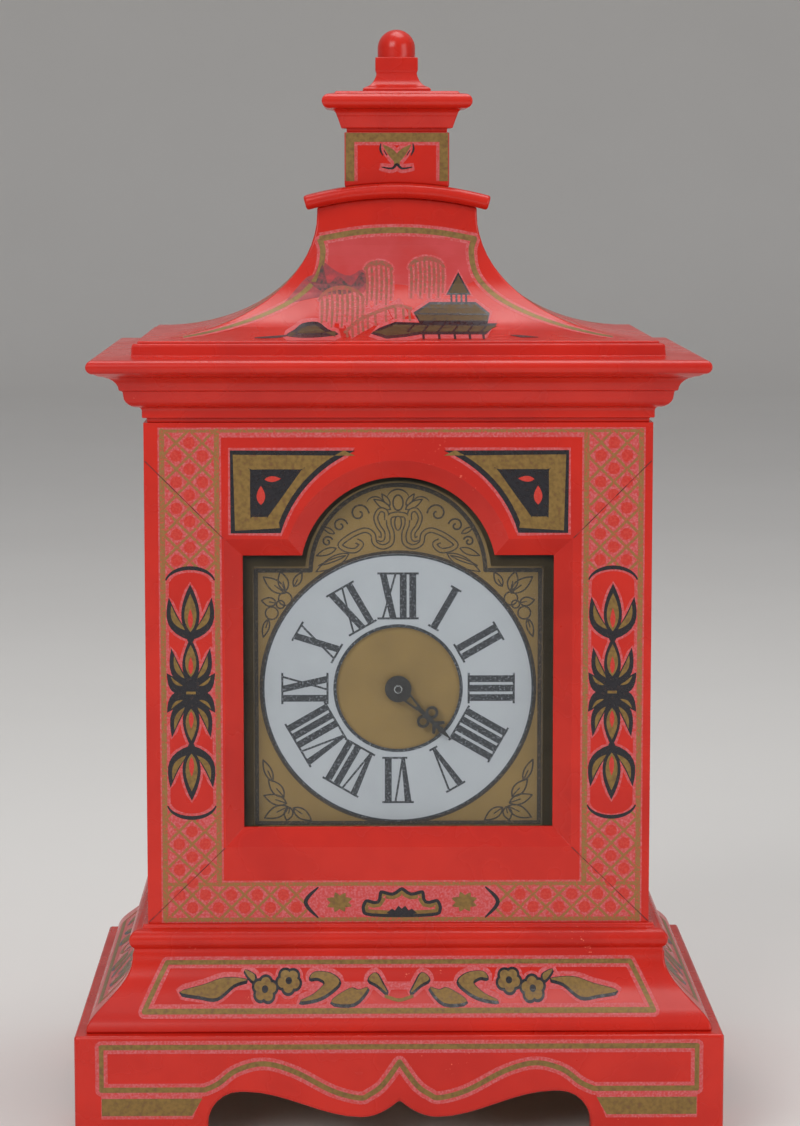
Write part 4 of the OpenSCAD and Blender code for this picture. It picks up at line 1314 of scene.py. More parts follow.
@dataclass
class BaseMoulding:
    """Cove, bead and fillet round the foot of the case, with a painted panel on every cove."""

    foot_z: float = 34.3
    lip: float = 0.8
    cove_high: float = 20.7
    cove_in: float = 4.4
    cove_out: float = 17.35

    def cove(self, half: float, turn: float) -> Face:
        """The face of one cove.

        Args:
            half: How far the case reaches on that side.
            turn: The angle that the face is turned by.

        Returns:
            The face to paint on.
        """
        steps = [i / 16 for i in range(17)]
        profile = tuple((self.foot_z + self.lip + (self.cove_high - self.lip) * t,
                         half + self.cove_in + (self.cove_out - self.cove_in) * ease_in_out((1 - t) ** 1.35))
                        for t in steps)
        return Face(profile, turn)

    def border(self, top_half: float, low_half: float) -> Outline:
        """The middle line of the panel's border."""
        return [(-top_half, 52.4), (top_half, 52.4), (low_half, 40.0), (-low_half, 40.0)]

    def blossoms(self) -> tuple[list[Outline], list[Outline]]:
        """Two five-petalled flowers: the petals and the dark eyes.

        Returns:
            The petals, then the eyes.
        """
        petals, eyes = [], []
        for (x, z), turn in (((-39.6, 45.2), 12.0), ((-32.6, 47.3), 50.0)):
            for k in range(5):
                a = math.radians(turn + 72 * k)
                petals.append(arc_points((x + 1.9 * math.cos(a), z + 1.7 * math.sin(a)), (1.45, 1.35), 0,
                                         345, 23))
            eyes.append(disc((x, z), 0.95, 14))
        return petals, eyes

    def leaves(self, long_leaf: bool) -> list[Outline]:
        """Leaf scrolls on the left half of a panel.

        Args:
            long_leaf: Whether the long outer leaf is drawn.

        Returns:
            The outlines, in millimetres.
        """
        shapes = [
            [(-29.3, 42.3), (-24.2, 42.9), (-20.3, 44.6), (-17.6, 47.0), (-20.3, 49.2), (-24.8, 49.6),
             (-26.3, 47.9), (-24.0, 48.0), (-22.0, 46.6), (-25.2, 44.0)],
            [(-20.0, 42.2), (-13.3, 41.8), (-9.2, 45.4), (-12.0, 44.9), (-14.6, 45.3)],
            [(-9.0, 47.6), (-6.9, 49.3), (-4.9, 46.6), (-3.6, 44.3), (-6.4, 46.2)],
            [(-45.6, 50.2), (-42.8, 48.9), (-43.0, 47.2), (-44.6, 48.4)],
        ]
        if long_leaf:
            shapes.append([(-64.6, 44.6), (-58.8, 43.6), (-53.7, 43.2), (-48.8, 46.4), (-45.0, 47.6),
                           (-51.6, 48.1), (-57.5, 46.4)])
        return [smooth(s, 4, closed=True) for s in shapes]

    def build(self) -> None:
        """Make the moulding and its panels."""
        Woodwork("base_moulding", ("base_moulding_front", "base_moulding_back", "base_moulding_sides"),
                 ease=0.55).build()
        pink, black, gold, eyes = [], [], [], []
        for turn, half, top_half, low_half in ((0, 48.5, 68.6, 75.0), (180, 48.5, 68.6, 75.0),
                                               (90, 74.5, 46.4, 51.6), (-90, 74.5, 46.4, 51.6)):
            face = self.cove(half, turn)
            rim = self.border(top_half, low_half)
            petals, dark = self.blossoms()
            left = self.leaves(top_half > 60)
            motif = petals + left
            both = motif + mirrored(motif)
            stem = [line(smooth([(-3.9, 43.4), (0.0, 42.5), (3.9, 43.4)], 5), 0.8)]
            gold.append(Layer(face, both + ring(rim, 1.35) + [s for part in stem for s in part]))
            pink.append(Layer(face, ring(rim, 3.4) + [grown(s, 1.5) for s in both]
                              + [stroke([(-60 if top_half > 60 else -40, 46),
                                         (60 if top_half > 60 else 40, 46)],
                                        2.0)]))
            under = [moved(grown(s, 0.5), (0.1, -0.34)) for s in left]
            black.append(Layer(face, under + mirrored(under) + [grown(s, 0.75) for s in petals]
                               + mirrored([grown(s, 0.75) for s in petals])))
            eyes.append(Layer(face, dark + mirrored(dark)))
        paint("cove_halo", pink, Finish.PINK, 0.03)
        paint("cove_outline", black, Finish.BLACK, 0.05)
        paint("cove_gilding", gold, Finish.GOLD, 0.07)
        paint("cove_flower_eyes", eyes, Finish.BLACK, 0.09)


@dataclass
class CaseFront:
    """Front frame of four mitred boards with its lattice, spandrels and blossom panels."""

    out: float = 48.5
    bottom: float = 63.2
    top: float = 212.3
    centre: float = 0.95
    bar_out: float = 69.2
    bar_in: float = 53.2
    bar_w: float = 1.5
    pitch: float = 7.7
    stalk_x: float = -61.2
    knot_z: float = 132.5
    arch_z: float = 166.9

    def face(self) -> Face:
        """The front face."""
        return Face(((self.bottom, self.out), (self.top, self.out)))

    def medallion(self) -> Outline:
        """The plain field round the left row of blossoms."""
        x, half = self.stalk_x, 7.2
        return arc_points((x, 165.0), (half, 4.4), 0, 180, 16) + arc_points((x, 99.6), (half, 4.6), 180,
                                                                            360, 16)

    def lattice(self) -> list[Outline]:
        """Diagonal lines over the left half of the front.

        Returns:
            The outlines, in millimetres.
        """
        lines = []
        span = self.top - self.bottom
        for k in range(-20, 30):
            for lean in (-1, 1):
                lines.append(stroke([(self.stalk_x + k * self.pitch, 64.0),
                                     (self.stalk_x + k * self.pitch + lean * span, 64.0 + span)], 0.8))
        return lines

    def spots(self) -> list[Vector]:
        """Where the red dabs in the lattice cells go, on both halves.

        Returns:
            The middle of each dab.
        """
        found = []
        face = self.face()
        for row in range(39):
            z = 64.0 + self.pitch / 2 * row
            for k in range(-1, 9):
                x = self.stalk_x + self.pitch * (k + (0.5 if row % 2 == 0 else 0.0))
                on_stile = -self.bar_out + 1.4 < x < -self.bar_in - 1.4 and 65.8 < z < 208.4
                on_stile = on_stile and not 94.4 < z < 170.2
                on_band = -self.bar_out + 1.4 < x < self.centre - 29.5 and 65.8 < z < 73.8
                if on_stile or on_band:
                    found += [face.place(x, z, 0.02), face.place(2 * self.centre - x, z, 0.02)]
        return found

    def blossoms(self) -> tuple[list[Outline], list[Outline], list[Outline]]:
        """The upper half of the left row: its dark shapes, the gilt inside them and the streaks in that.

        Returns:
            The dark shapes, the gilt ones and the streaks.
        """
        x = self.stalk_x
        dark = [petal((x, 148.4), (x, 164.8), 5.4), petal((x, 134.2), (x, 149.0), 5.0),
                arc_points((x, 148.9), (1.1, 1.5), 0, 340, 17),
                arc_points((x, self.knot_z + 0.6), (2.6, 2.4), 0, 340, 17)]
        gilt = [petal((x, 150.6), (x, 162.0), 3.6), petal((x, 137.2), (x, 146.8), 3.3)]
        streaks = [petal((x, 151.6), (x, 157.6), 1.5), petal((x, 138.0), (x, 143.2), 1.4)]
        for side in (-1, 1):
            for root, tip, width, lean, heart_root, heart_tip, heart in (
                    ((0.2, 148.2), (6.3, 160.9), 3.6, 0.13, (1.6, 151.2), (5.6, 158.6), 1.7),
                    ((0.3, 133.2), (5.7, 145.8), 3.3, 0.10, (1.9, 136.8), (4.9, 143.6), 1.4),
                    ((0.2, 132.3), (7.1, 138.4), 3.9, 0.12, (2.4, 134.6), (5.9, 137.4), 0.9)):
                dark.append(petal((x + side * root[0], root[1]), (x + side * tip[0], tip[1]), width,
                                  -side * lean))
                gilt.append(petal((x + side * heart_root[0], heart_root[1]),
                                  (x + side * heart_tip[0], heart_tip[1]), heart, -side * lean))
        return dark, gilt, streaks

    def spandrel(self) -> Outline:
        """Outline of the left corner ornament over the arch.

        Returns:
            The outline, in millimetres.
        """
        curve = []
        for i in range(13):
            t = i / 12
            angle, radius = math.radians(159.4 - 50.6 * t), 36.9 + 2.4 * t
            curve.append((radius * math.cos(angle), self.arch_z + radius * math.sin(angle)))
        return [(-49.3, 204.2), (-49.2, 179.8), *curve]

    def band_middle(self) -> tuple[list[Outline], list[Outline], list[Outline], list[Outline]]:
        """The cloud in the middle of the bottom band: outline, gilt rim, red field and dark heart.

        Returns:
            The four kinds of shape, in the order named above.
        """
        c = self.centre
        half = [(0.0, 73.9), (-2.8, 72.3), (-6.4, 72.9), (-7.4, 69.8), (-10.8, 70.2), (-11.9, 67.0),
                (-8.8, 65.0)]
        cloud = smooth([(c + x, z) for x, z in half] + [(c - x, z) for x, z in half[:0:-1]], 4, closed=True)
        field_shape = grown(cloud, -2.1)
        heart = [(c - 4.6, 66.0), (c - 3.0, 67.4), (c - 2.0, 66.9), (c - 1.0, 68.3), (c, 67.4),
                 (c + 1.0, 68.3),
                 (c + 2.0, 66.9), (c + 3.0, 67.4), (c + 4.6, 66.0), (c, 65.1)]
        return [cloud], [grown(cloud, -1.0)], [field_shape], [heart]

    def splash(self, x: float) -> list[Outline]:
        """A small gilt spray of pointed leaves."""
        return [petal((x, 69.4), (x + 4.0 * math.cos(math.radians(a)),
                                  69.4 + 3.2 * math.sin(math.radians(a))), 1.9)
                for a in (20, 62, 108, 160, 205, 250, 295, 338)]

    def build(self) -> None:
        """Make the frame and its paint."""
        nodes = ("front_stiles", "front_rail_bottom", "front_rail_top")
        Woodwork("case_front", nodes, ease=0.7, seams=((1, -36.5), (2, 63.2), (2, 212.3))).build()
        face, c = self.face(), self.centre
        field_left = self.medallion()
        fields = [field_left, *mirrored([field_left], c)]
        middle = box(c - 28.0, 63.4, c + 28.0, 75.6)
        cloud, rim, red_field, heart = self.band_middle()
        petals, hearts, streaks = (part + flipped(part, self.knot_z) for part in self.blossoms())
        petals, hearts, streaks = (part + mirrored(part, c) for part in (petals, hearts, streaks))
        arcs = []
        for start, end, z in ((12, 168, 165.0), (192, 348, 99.6)):
            arcs.append(stroke(arc_points((self.stalk_x, z), (7.3, 4.6), start, end, 20), 1.15, 0.35))
        bracket = stroke(smooth([(c - 24.8, 74.0), (c - 28.6, 69.4), (c - 24.8, 64.6)], 7), 1.2, 0.3)
        arcs += mirrored(arcs, c) + [bracket] + mirrored([bracket], c)
        corner = self.spandrel()
        corners = [corner, *mirrored([corner], 0.3)]
        inner = smooth([(-43.4, 198.0), (-42.8, 198.6), (-28.9, 198.6), (-28.6, 198.2), (-38.0, 185.1),
                        (-38.6, 184.7), (-42.8, 184.7), (-43.4, 185.2)], 3, closed=True)
        drops = [petal((-39.2, 195.7), (-34.4, 195.9), 1.7), petal((-40.3, 188.2), (-40.3, 193.8), 2.5)]
        bars = [line([(s * self.bar_out + (c if s < 0 else c) * (s + 1), 64.0),
                      (s * self.bar_out + c * (s + 1), 209.9)], self.bar_w) for s in (-1, 1)]
        bars += [line([(s * self.bar_in + c * (s + 1), 74.9), (s * self.bar_in + c * (s + 1), 209.9)],
                      self.bar_w)
                 for s in (-1, 1)]
        bars += [line([(-self.bar_out, z), (self.bar_out + 2 * c, z)], w) for z,
                 w in ((64.2, 1.2), (74.9, 1.1))]
        bars += [line([(-self.bar_out, 209.9), (self.bar_out + 2 * c, 209.9)], 0.9)]
        bar_shapes = [s for part in bars for s in part]
        halo_frame = [box(-self.bar_out - 1.2, 63.3, -self.bar_in + 1.3, 210.9)]
        halo_frame += mirrored(halo_frame, c)
        halo_frame += [box(-self.bar_out - 1.2, 63.3, self.bar_out + 2 * c + 1.2, 76.0),
                       box(-self.bar_in, 208.0, self.bar_in + 2 * c, 210.9)]
        bare = [[*grown(f, -0.9)] for f in fields]
        paint("front_halo", [Layer(face, halo_frame, gaps=bare)], Finish.PINK, 0.03)
        lined = [grown(s, 0.75) for s in petals] + [stroke(arc_points((self.stalk_x, z), (7.3, 4.6), a, b,
                                                                      20), 2.6)
                                                    for a, b, z in ((12, 168, 165.0), (192, 348, 99.6))]
        paint("blossom_halo", [Layer(face, lined + [grown(k, 0.9) for k in corners], within=bare
                                     + [grown(k, 1.2) for k in corners])], Finish.PINK, 0.032)
        PaintedSpots("lattice_spots", {"Radius": 1.75 * MM, "Thickness": 0.09 * MM}, Finish.PETAL).build(
            "front_lattice_spots", self.spots(), "case")
        left = [box(-self.bar_out, 64.2, -self.bar_in, 209.8), box(-self.bar_out, 64.2, c, 74.9)]
        lines = self.lattice()
        paint("front_lattice", [Layer(face, lines, gaps=fields + [middle], within=left),
                                Layer(face, mirrored(lines, c), gaps=fields + [middle],
                                      within=mirrored(left, c))],
              Finish.FAINT_GOLD, 0.05)
        paint("front_bars", [Layer(face, bar_shapes)], Finish.FAINT_GOLD, 0.055)
        paint("front_outline", [Layer(face, petals + arcs + corners + cloud)],
              Finish.BLACK, 0.07)
        gilt = hearts + [grown(k, -1.5) for k in corners] + rim
        gilt += self.splash(c - 18.6) + self.splash(c + 18.6)
        knot = [box(self.stalk_x - 1.4, self.knot_z - 0.4, self.stalk_x + 1.4, self.knot_z + 0.4)]
        gilt += knot + mirrored(knot, c)
        paint("front_gilding", [Layer(face, gilt)], Finish.GOLD, 0.09)
        paint("front_details", [Layer(face, [inner, *mirrored([inner], 0.3), *heart])], Finish.BLACK, 0.11)
        paint("front_petals", [Layer(face, drops + mirrored(drops, 0.3) + streaks)], Finish.PETAL, 0.13)
        paint("cloud_field", [Layer(face, red_field, gaps=heart)], Finish.PINK, 0.1)
        seams = [stroke([(51.4, 85.9), (74.2, 63.5)], 0.22), stroke([(51.4, 178.3), (74.2, 201.1)], 0.22)]
        paint("mitre_lines", [Layer(face, seams + mirrored(seams))], Finish.SEAM, 0.1)


@dataclass
class CaseBody:
    """Case sides, back frame, inner boards and the cornice."""

    side_out: float = 74.5

    def build(self) -> None:
        """Make the case behind its front."""
        Woodwork("case_cheeks", ("case_sides",), ease=0.5,
                 seams=((1, -36.5), (1, 40.5), (2, 63.2), (2, 212.3))
                 ).build()
        Woodwork("case_back_frame", ("back_frame",), ease=0.5,
                 seams=((1, 40.5), (2, 63.2), (2, 212.3))).build()
        Woodwork("cornice", ("cornice_front", "cornice_back", "cornice_sides"), ease=0.5).build()
        for node in ("foot_blocks", "plinth_board", "case_floor", "case_top_board"):
            dress(node, Finish.BARE)
        gold, pink = [], []
        for turn in (90.0, -90.0):
            face = Face(((63.2, self.side_out), (212.3, self.side_out)), turn)
            rim = [(-33.0, 72.0), (37.0, 72.0), (37.0, 203.0), (-33.0, 203.0)]
            gold.append(Layer(face, ring(rim, 1.5)))
            pink.append(Layer(face, ring(rim, 3.6)))
        paint("side_halo", pink, Finish.PINK, 0.03)
        paint("side_gilding", gold, Finish.FAINT_GOLD, 0.05)


@dataclass
class Roof:
    """Bell-shaped roof, arched ledge, lantern and finial, with a painted landscape."""

    foot_z: float = 235.5
    top_z: float = 272.5
    lip: float = 0.7
    top_half: Point = (24.0, 14.0)
    foot_half: Point = (76.0, 50.0)

    def bell(self, top: float, foot: float, turn: float) -> Face:
        """The face of one side of the roof.

        Args:
            top: How far the roof reaches at its top.
            foot: How far it reaches at its foot.
            turn: The angle that the face is turned by.

        Returns:
            The face to paint on.
        """
        rise = self.top_z - self.foot_z - self.lip
        steps = [math.radians(5 * i) for i in range(18, -1, -1)]
        profile = tuple((self.top_z - rise * math.sin(a),
                         top + (foot - top) * (1 - math.cos(a))) for a in steps)
        return Face(profile, turn)

    def reach(self, top: float, foot: float, z: float) -> float:
        """How far a side of the roof reaches at a height.

        Args:
            top: Its reach at the top.
            foot: Its reach at the foot.
            z: The height.

        Returns:
            The reach at that height.
        """
        rise = self.top_z - self.foot_z - self.lip
        return top + (foot - top) * (1 - math.cos(math.asin(min(1.0, max(0.0, (self.top_z - z) / rise)))))

    def between_hips(self, top: float, foot: float) -> Outline:
        """The outline of one side between its hips, a little inside them.

        Args:
            top: Half the side's length at its top.
            foot: Half its length at its foot.

        Returns:
            The outline.
        """
        heights = [self.foot_z + self.lip + 0.05 + 0.6 * i for i in range(60)]
        right = [(self.reach(top, foot, z) - 0.35, z) for z in heights]
        return right + [(-x, z) for x, z in reversed(right)]

    def brushed(self, lines: Sequence[Outline], width: float, out: Point) -> list[Outline]:
        """Lines of even width on the curved side, so thinner in height where it flattens.

        Args:
            lines: The lines.
            width: Their width on the surface.
            out: How far the side stands out at its top and at its foot.

        Returns:
            Short overlapping strokes.
        """
        shapes = []
        for points in lines:
            for a, b in zip(points, points[1:]):
                z = (a[1] + b[1]) / 2
                step = self.reach(*out, z - 0.1) - self.reach(*out, z + 0.1)
                thin = width * max(0.22, 0.2 / math.hypot(0.2, step))
                shapes += [stroke([a, b], thin), disc(b, thin / 2, 10)]
        return shapes

    def border(self, top: float, foot: float, centre_z: float) -> list[Outline]:
        """The gilt line over the top of a side and down beside both hips.

        Args:
            top: Half the side's length at its top.
            foot: Half its length at its foot.
            centre_z: The line's height in the middle.

        Returns:
            Three lines.
        """
        share = (foot - top) / (self.foot_half[0] - self.top_half[0])
        fall = []
        for z, inset in ((centre_z - 2.6, 1.9), (261.0, 4.4), (254.0, 7.4), (248.0, 8.0), (243.5, 6.5),
                         (240.2, 4.6), (238.2, 3.2), (237.0, 2.4)):
            fall.append((self.reach(top, foot, z) - inset * share, z))
        right = smooth(fall, 4)
        crown = smooth([(-fall[0][0], fall[0][1]), (-fall[0][0] * 0.5, centre_z - 0.6), (0.0, centre_z),
                        (fall[0][0] * 0.5, centre_z - 0.6), fall[0]], 5)
        return [crown, right, [(-x, z) for x, z in right]]

    def willow(self, x: float, top: float, half: float, foot: float, strands: int) -> list[Outline]:
        """A weeping tree of hanging strokes.

        Args:
            x: Its middle.
            top: Height of its crown.
            half: Half its width.
            foot: Height where its strands end.
            strands: How many hang down.

        Returns:
            The strokes.
        """
        crown = arc_points((x, top - half * 0.62), (half, half * 0.62), 8, 172, 12)
        shapes = [stroke(crown, 1.25, 0.4), stroke(moved(crown, (0.0, -2.4 / half * 1.0)), 0.5, 0.3)]
        for i in range(strands):
            at = x - half + 2 * half * (i + 0.5) / strands
            lift = half * 0.62 * math.sqrt(max(0.0, 1 - ((at - x) / half) ** 2))
            low = foot + (1.4 if i % 2 else 0.0)
            shapes.append(stroke(smooth([(at, top - half * 0.62 + lift), (at + 0.25, (top + low) / 2),
                                         (at, low)], 4),
                                 0.85, 0.5))
        return shapes

    def bridge(self) -> list[Outline]:
        """The arched bridge in front of the trees.

        Returns:
            The outlines, in millimetres.
        """
        deck = smooth([(-15.6, 238.2), (-11.8, 241.2), (-8.0, 242.9), (-0.7, 245.3), (4.0, 244.6)], 5)
        rails = line(deck, 0.9)
        for i in range(1, len(deck) - 1, 2):
            x, z = deck[i]
            rails.append(stroke([(x, z), (x + 0.2, max(236.9, z - 3.6))], 0.7))
        return rails

    def pavilion(self) -> dict[str, list[Outline]]:
        """The pavilion on its terrace, sorted by paint.

        Returns:
            The outlines of each paint by its name.
        """
        terrace = [(-7.8, 238.0), (-5.4, 238.9), (-0.8, 240.5), (6.0, 240.3), (29.4, 240.1), (25.8, 237.9),
                   (6.4, 237.9), (2.2, 237.3), (-3.4, 236.9)]
        eaves = [(5.1, 243.2), (9.6, 246.0), (23.2, 246.0), (27.0, 243.0), (26.5, 240.9), (6.6, 240.9)]
        spire = [(15.1, 248.8), (18.3, 254.6), (21.4, 248.8)]
        posts = [box(x - 0.35, 236.5, x + 0.35, 238.2) for x in (7.4, 12.0, 16.6, 21.0, 25.0)]
        stands = [box(x - 0.3, 245.8, x + 0.3, 249.0) for x in (16.1, 17.6, 19.1, 20.5)]
        return {
            "under": [grown(terrace, 0.35), grown(eaves, 0.45), grown(spire, 0.55)] + posts + stands,
            "gilt": [grown(terrace, -0.35), grown(eaves, -0.3), grown(spire, -0.4)],
            "lines": [stroke([(5.6, 243.1), (26.8, 242.9)], 0.4)]
            + [stroke([(x, 240.3), (x - 2.2, 238.1)], 0.45) for x in (5.0, 9.4, 13.8, 18.2, 22.6, 26.6)],
            "halo": [grown(terrace, 1.3), grown(eaves, 1.4), grown(spire, 1.4)],
        }

    def landscape(self, face: Face) -> None:
        """Paint the front of the roof.

        Args:
            face: The roof's front face.
        """
        trees = self.willow(-5.6, 258.0, 4.3, 245.6, 6) + self.willow(8.8, 259.2, 5.4, 247.6, 8)
        trees += self.willow(-16.6, 250.6, 6.8, 239.4, 9)
        # Painted sheen: this patch is painted pinker to stand in for light reflected high on the roof front.
        painted_sheen = smooth([(-21.6, 264.6), (0.0, 266.4), (21.6, 264.6), (22.0, 259.0), (24.4, 253.4),
                       (12.0, 249.6),
                       (0.0, 251.6), (-12.0, 249.8), (-24.0, 253.6), (-22.0, 259.0)], 5, closed=True)
        hill = smooth([(-33.4, 246.0), (-31.4, 248.9), (-27.4, 253.4), (-24.9, 254.6), (-22.6, 258.2),
                       (-18.4, 255.5), (-14.1, 254.1), (-10.4, 255.9), (-8.6, 251.9), (-11.0, 248.6),
                       (-14.0, 250.6), (-20.4, 248.4), (-26.3, 247.4)], 3, closed=True)
        shade = smooth([(-27.4, 253.4), (-24.4, 252.2), (-22.4, 257.6), (-20.8, 251.8), (-17.6, 254.0),
                        (-13.8, 251.2), (-10.6, 255.2), (-9.4, 252.0), (-14.6, 248.8), (-22.4, 249.4)], 3,
                       closed=True)
        island = smooth([(-32.8, 237.4), (-30.4, 238.9), (-28.2, 240.5), (-23.8, 240.9), (-20.8, 239.0),
                         (-17.5, 237.6), (-22.8, 236.9), (-29.0, 236.8)], 3, closed=True)
        house = self.pavilion()
        bridge = self.bridge()
        ground = [stroke(smooth([(-42.0, 236.8), (-36.0, 237.0), (-31.0, 237.5)], 4), 0.5, 0.2),
                  stroke([(33.0, 237.4), (36.0, 237.1), (41.0, 236.9)], 0.5, 0.2)]
        paint("landscape_painted_sheen", [Layer(face, [painted_sheen])], Finish.PAINTED_SHEEN, 0.02)
        paint("landscape_halo", [Layer(face, [grown(s, 0.55) for s in trees] + house["halo"]
                                       + [grown(island, 1.1)]
                                       + [stroke([(x, z), (x + 4, z + 2.2)], 5.6) for x, z in
                                          ((-15, 238.9), (-11, 240.9), (-7, 242.1), (-2, 243.0))])],
              Finish.PINK, 0.035)
        paint("landscape_hills", [Layer(face, [hill])], Finish.SMUDGE, 0.045)
        paint("hill_shadows", [Layer(face, [shade])], Finish.SMUDGE_DARK, 0.055)
        paint("landscape_trees", [Layer(face, trees + bridge)], Finish.TREE, 0.065)
        paint("landscape_outline", [Layer(face, house["under"] + [island] + ground)], Finish.BLACK, 0.075)
        paint("landscape_gilding", [Layer(face, house["gilt"] + [grown(island, -1.1)])], Finish.DARK_GOLD,
              0.09)
        paint("landscape_lines", [Layer(face, house["lines"])], Finish.BLACK, 0.105)

    def sprig(self, x: float, z: float, scale: float) -> list[Outline]:
        """A leaf sprig for the roof's sides and back.

        Args:
            x: How far along its foot is.
            z: How high its foot is.
            scale: Its size against the drawn one.

        Returns:
            The outlines, in millimetres.
        """
        shapes = [stroke(smooth([(0.0, 0.0), (1.0, 5.0), (0.2, 11.0)], 5), 0.9, 0.4)]
        shapes += [petal((0.5, 2.5 + 2.6 * k), (side * 5.2, 5.2 + 2.9 * k), 2.2, side * -0.12)
                   for k in range(3) for side in (-1, 1)]
        return [moved(s, (x, z), 0.0, scale) for s in shapes]

    def build(self) -> None:
        """Make the roof and everything on it."""
        Woodwork("bell_roof", ("roof_front", "roof_back", "roof_sides"), ease=0.5,
                 seams=((2, 235.5),)).build()
        Woodwork("arched_ledge", ("roof_ledge",), ease=0.7).build()
        Woodwork("lantern_box", ("lantern_block",), ease=0.45).build()
        Woodwork("lantern_moulding", ("lantern_cap",), ease=0.4).build()
        Woodwork("roof_finial", ("finial",), ease=0.45).build()
        front = self.bell(self.top_half[1], self.foot_half[1], 0.0)
        gold, pink = [], []
        (long_top, deep_top), (long_foot, deep_foot) = self.top_half, self.foot_half
        for turn in (0.0, 180.0, 90.0, -90.0):
            out, along = (deep_top, deep_foot), (long_top, long_foot)
            if turn in (90.0, -90.0):
                out, along = along, out
            face = self.bell(*out, turn)
            lines = self.border(*along, 267.6)
            hips = [self.between_hips(*along)]
            extra = [] if turn == 0.0 else self.sprig(0.0, 240.0, 1.35)
            gold.append(Layer(face, self.brushed(lines, 1.75, out) + extra, within=hips))
            pink.append(Layer(face, self.brushed(lines, 3.7, out) + [grown(s, 0.8) for s in extra],
                              within=hips))
        paint("roof_halo", pink, Finish.PINK, 0.03)
        paint("roof_gilding", gold, Finish.GOLD, 0.05)
        self.landscape(front)
        self.lantern()

    def lantern(self) -> None:
        """Paint the four sides of the lantern."""
        gold, pink, black = [], [], []
        for turn, out, half in ((0.0, 12.0, 15.7), (180.0, 12.0, 15.7), (90.0, 15.7, 12.0),
                                (-90.0, 15.7, 12.0)):
            face = Face(((278.0, out), (297.0, out)), turn)
            foot = 282.2 if turn in (0.0, 180.0) else 281.2
            bands = [box(-half + 0.3, 293.9, half - 0.3, 296.6), box(-half + 0.3, foot, -half + 2.9, 296.6),
                     box(half - 2.9, foot, half - 0.3, 296.6)]
            pair = [petal((0.9, 286.9), (-4.4, 293.2), 2.3, -0.06),
                    petal((-0.9, 286.9), (4.4, 293.2), 2.3, 0.06)]
            pair += [stroke(smooth([(-4.6, 286.4), (-1.5, 286.0), (0.0, 287.2), (1.5, 286.0), (4.6, 286.4)],
                                   5),
                            0.8, 0.3)]
            gold.append(Layer(face, bands + pair[:2]))
            pink.append(Layer(face, [grown(b, 1.0) for b in bands] + [grown(s, 1.1) for s in pair],
                              within=[box(-half + 0.2, foot, half - 0.2, 296.7)]))
            marks = [stroke([(s * 3.0, 289.9), (s * 3.9, 291.4)], 1.0, 0.3) for s in (-1, 1)]
            marks += [stroke(smooth([(s * 4.8, 293.5), (s * 5.0, 291.6), (s * 4.2, 289.8)], 4), 0.6, 0.3)
                      for s in (-1, 1)]
            black.append(Layer(face, marks + pair[2:]))
        paint("lantern_halo", pink, Finish.PINK, 0.03)
        paint("lantern_gilding", gold, Finish.GOLD, 0.05)
        paint("lantern_marks", black, Finish.BLACK, 0.07)


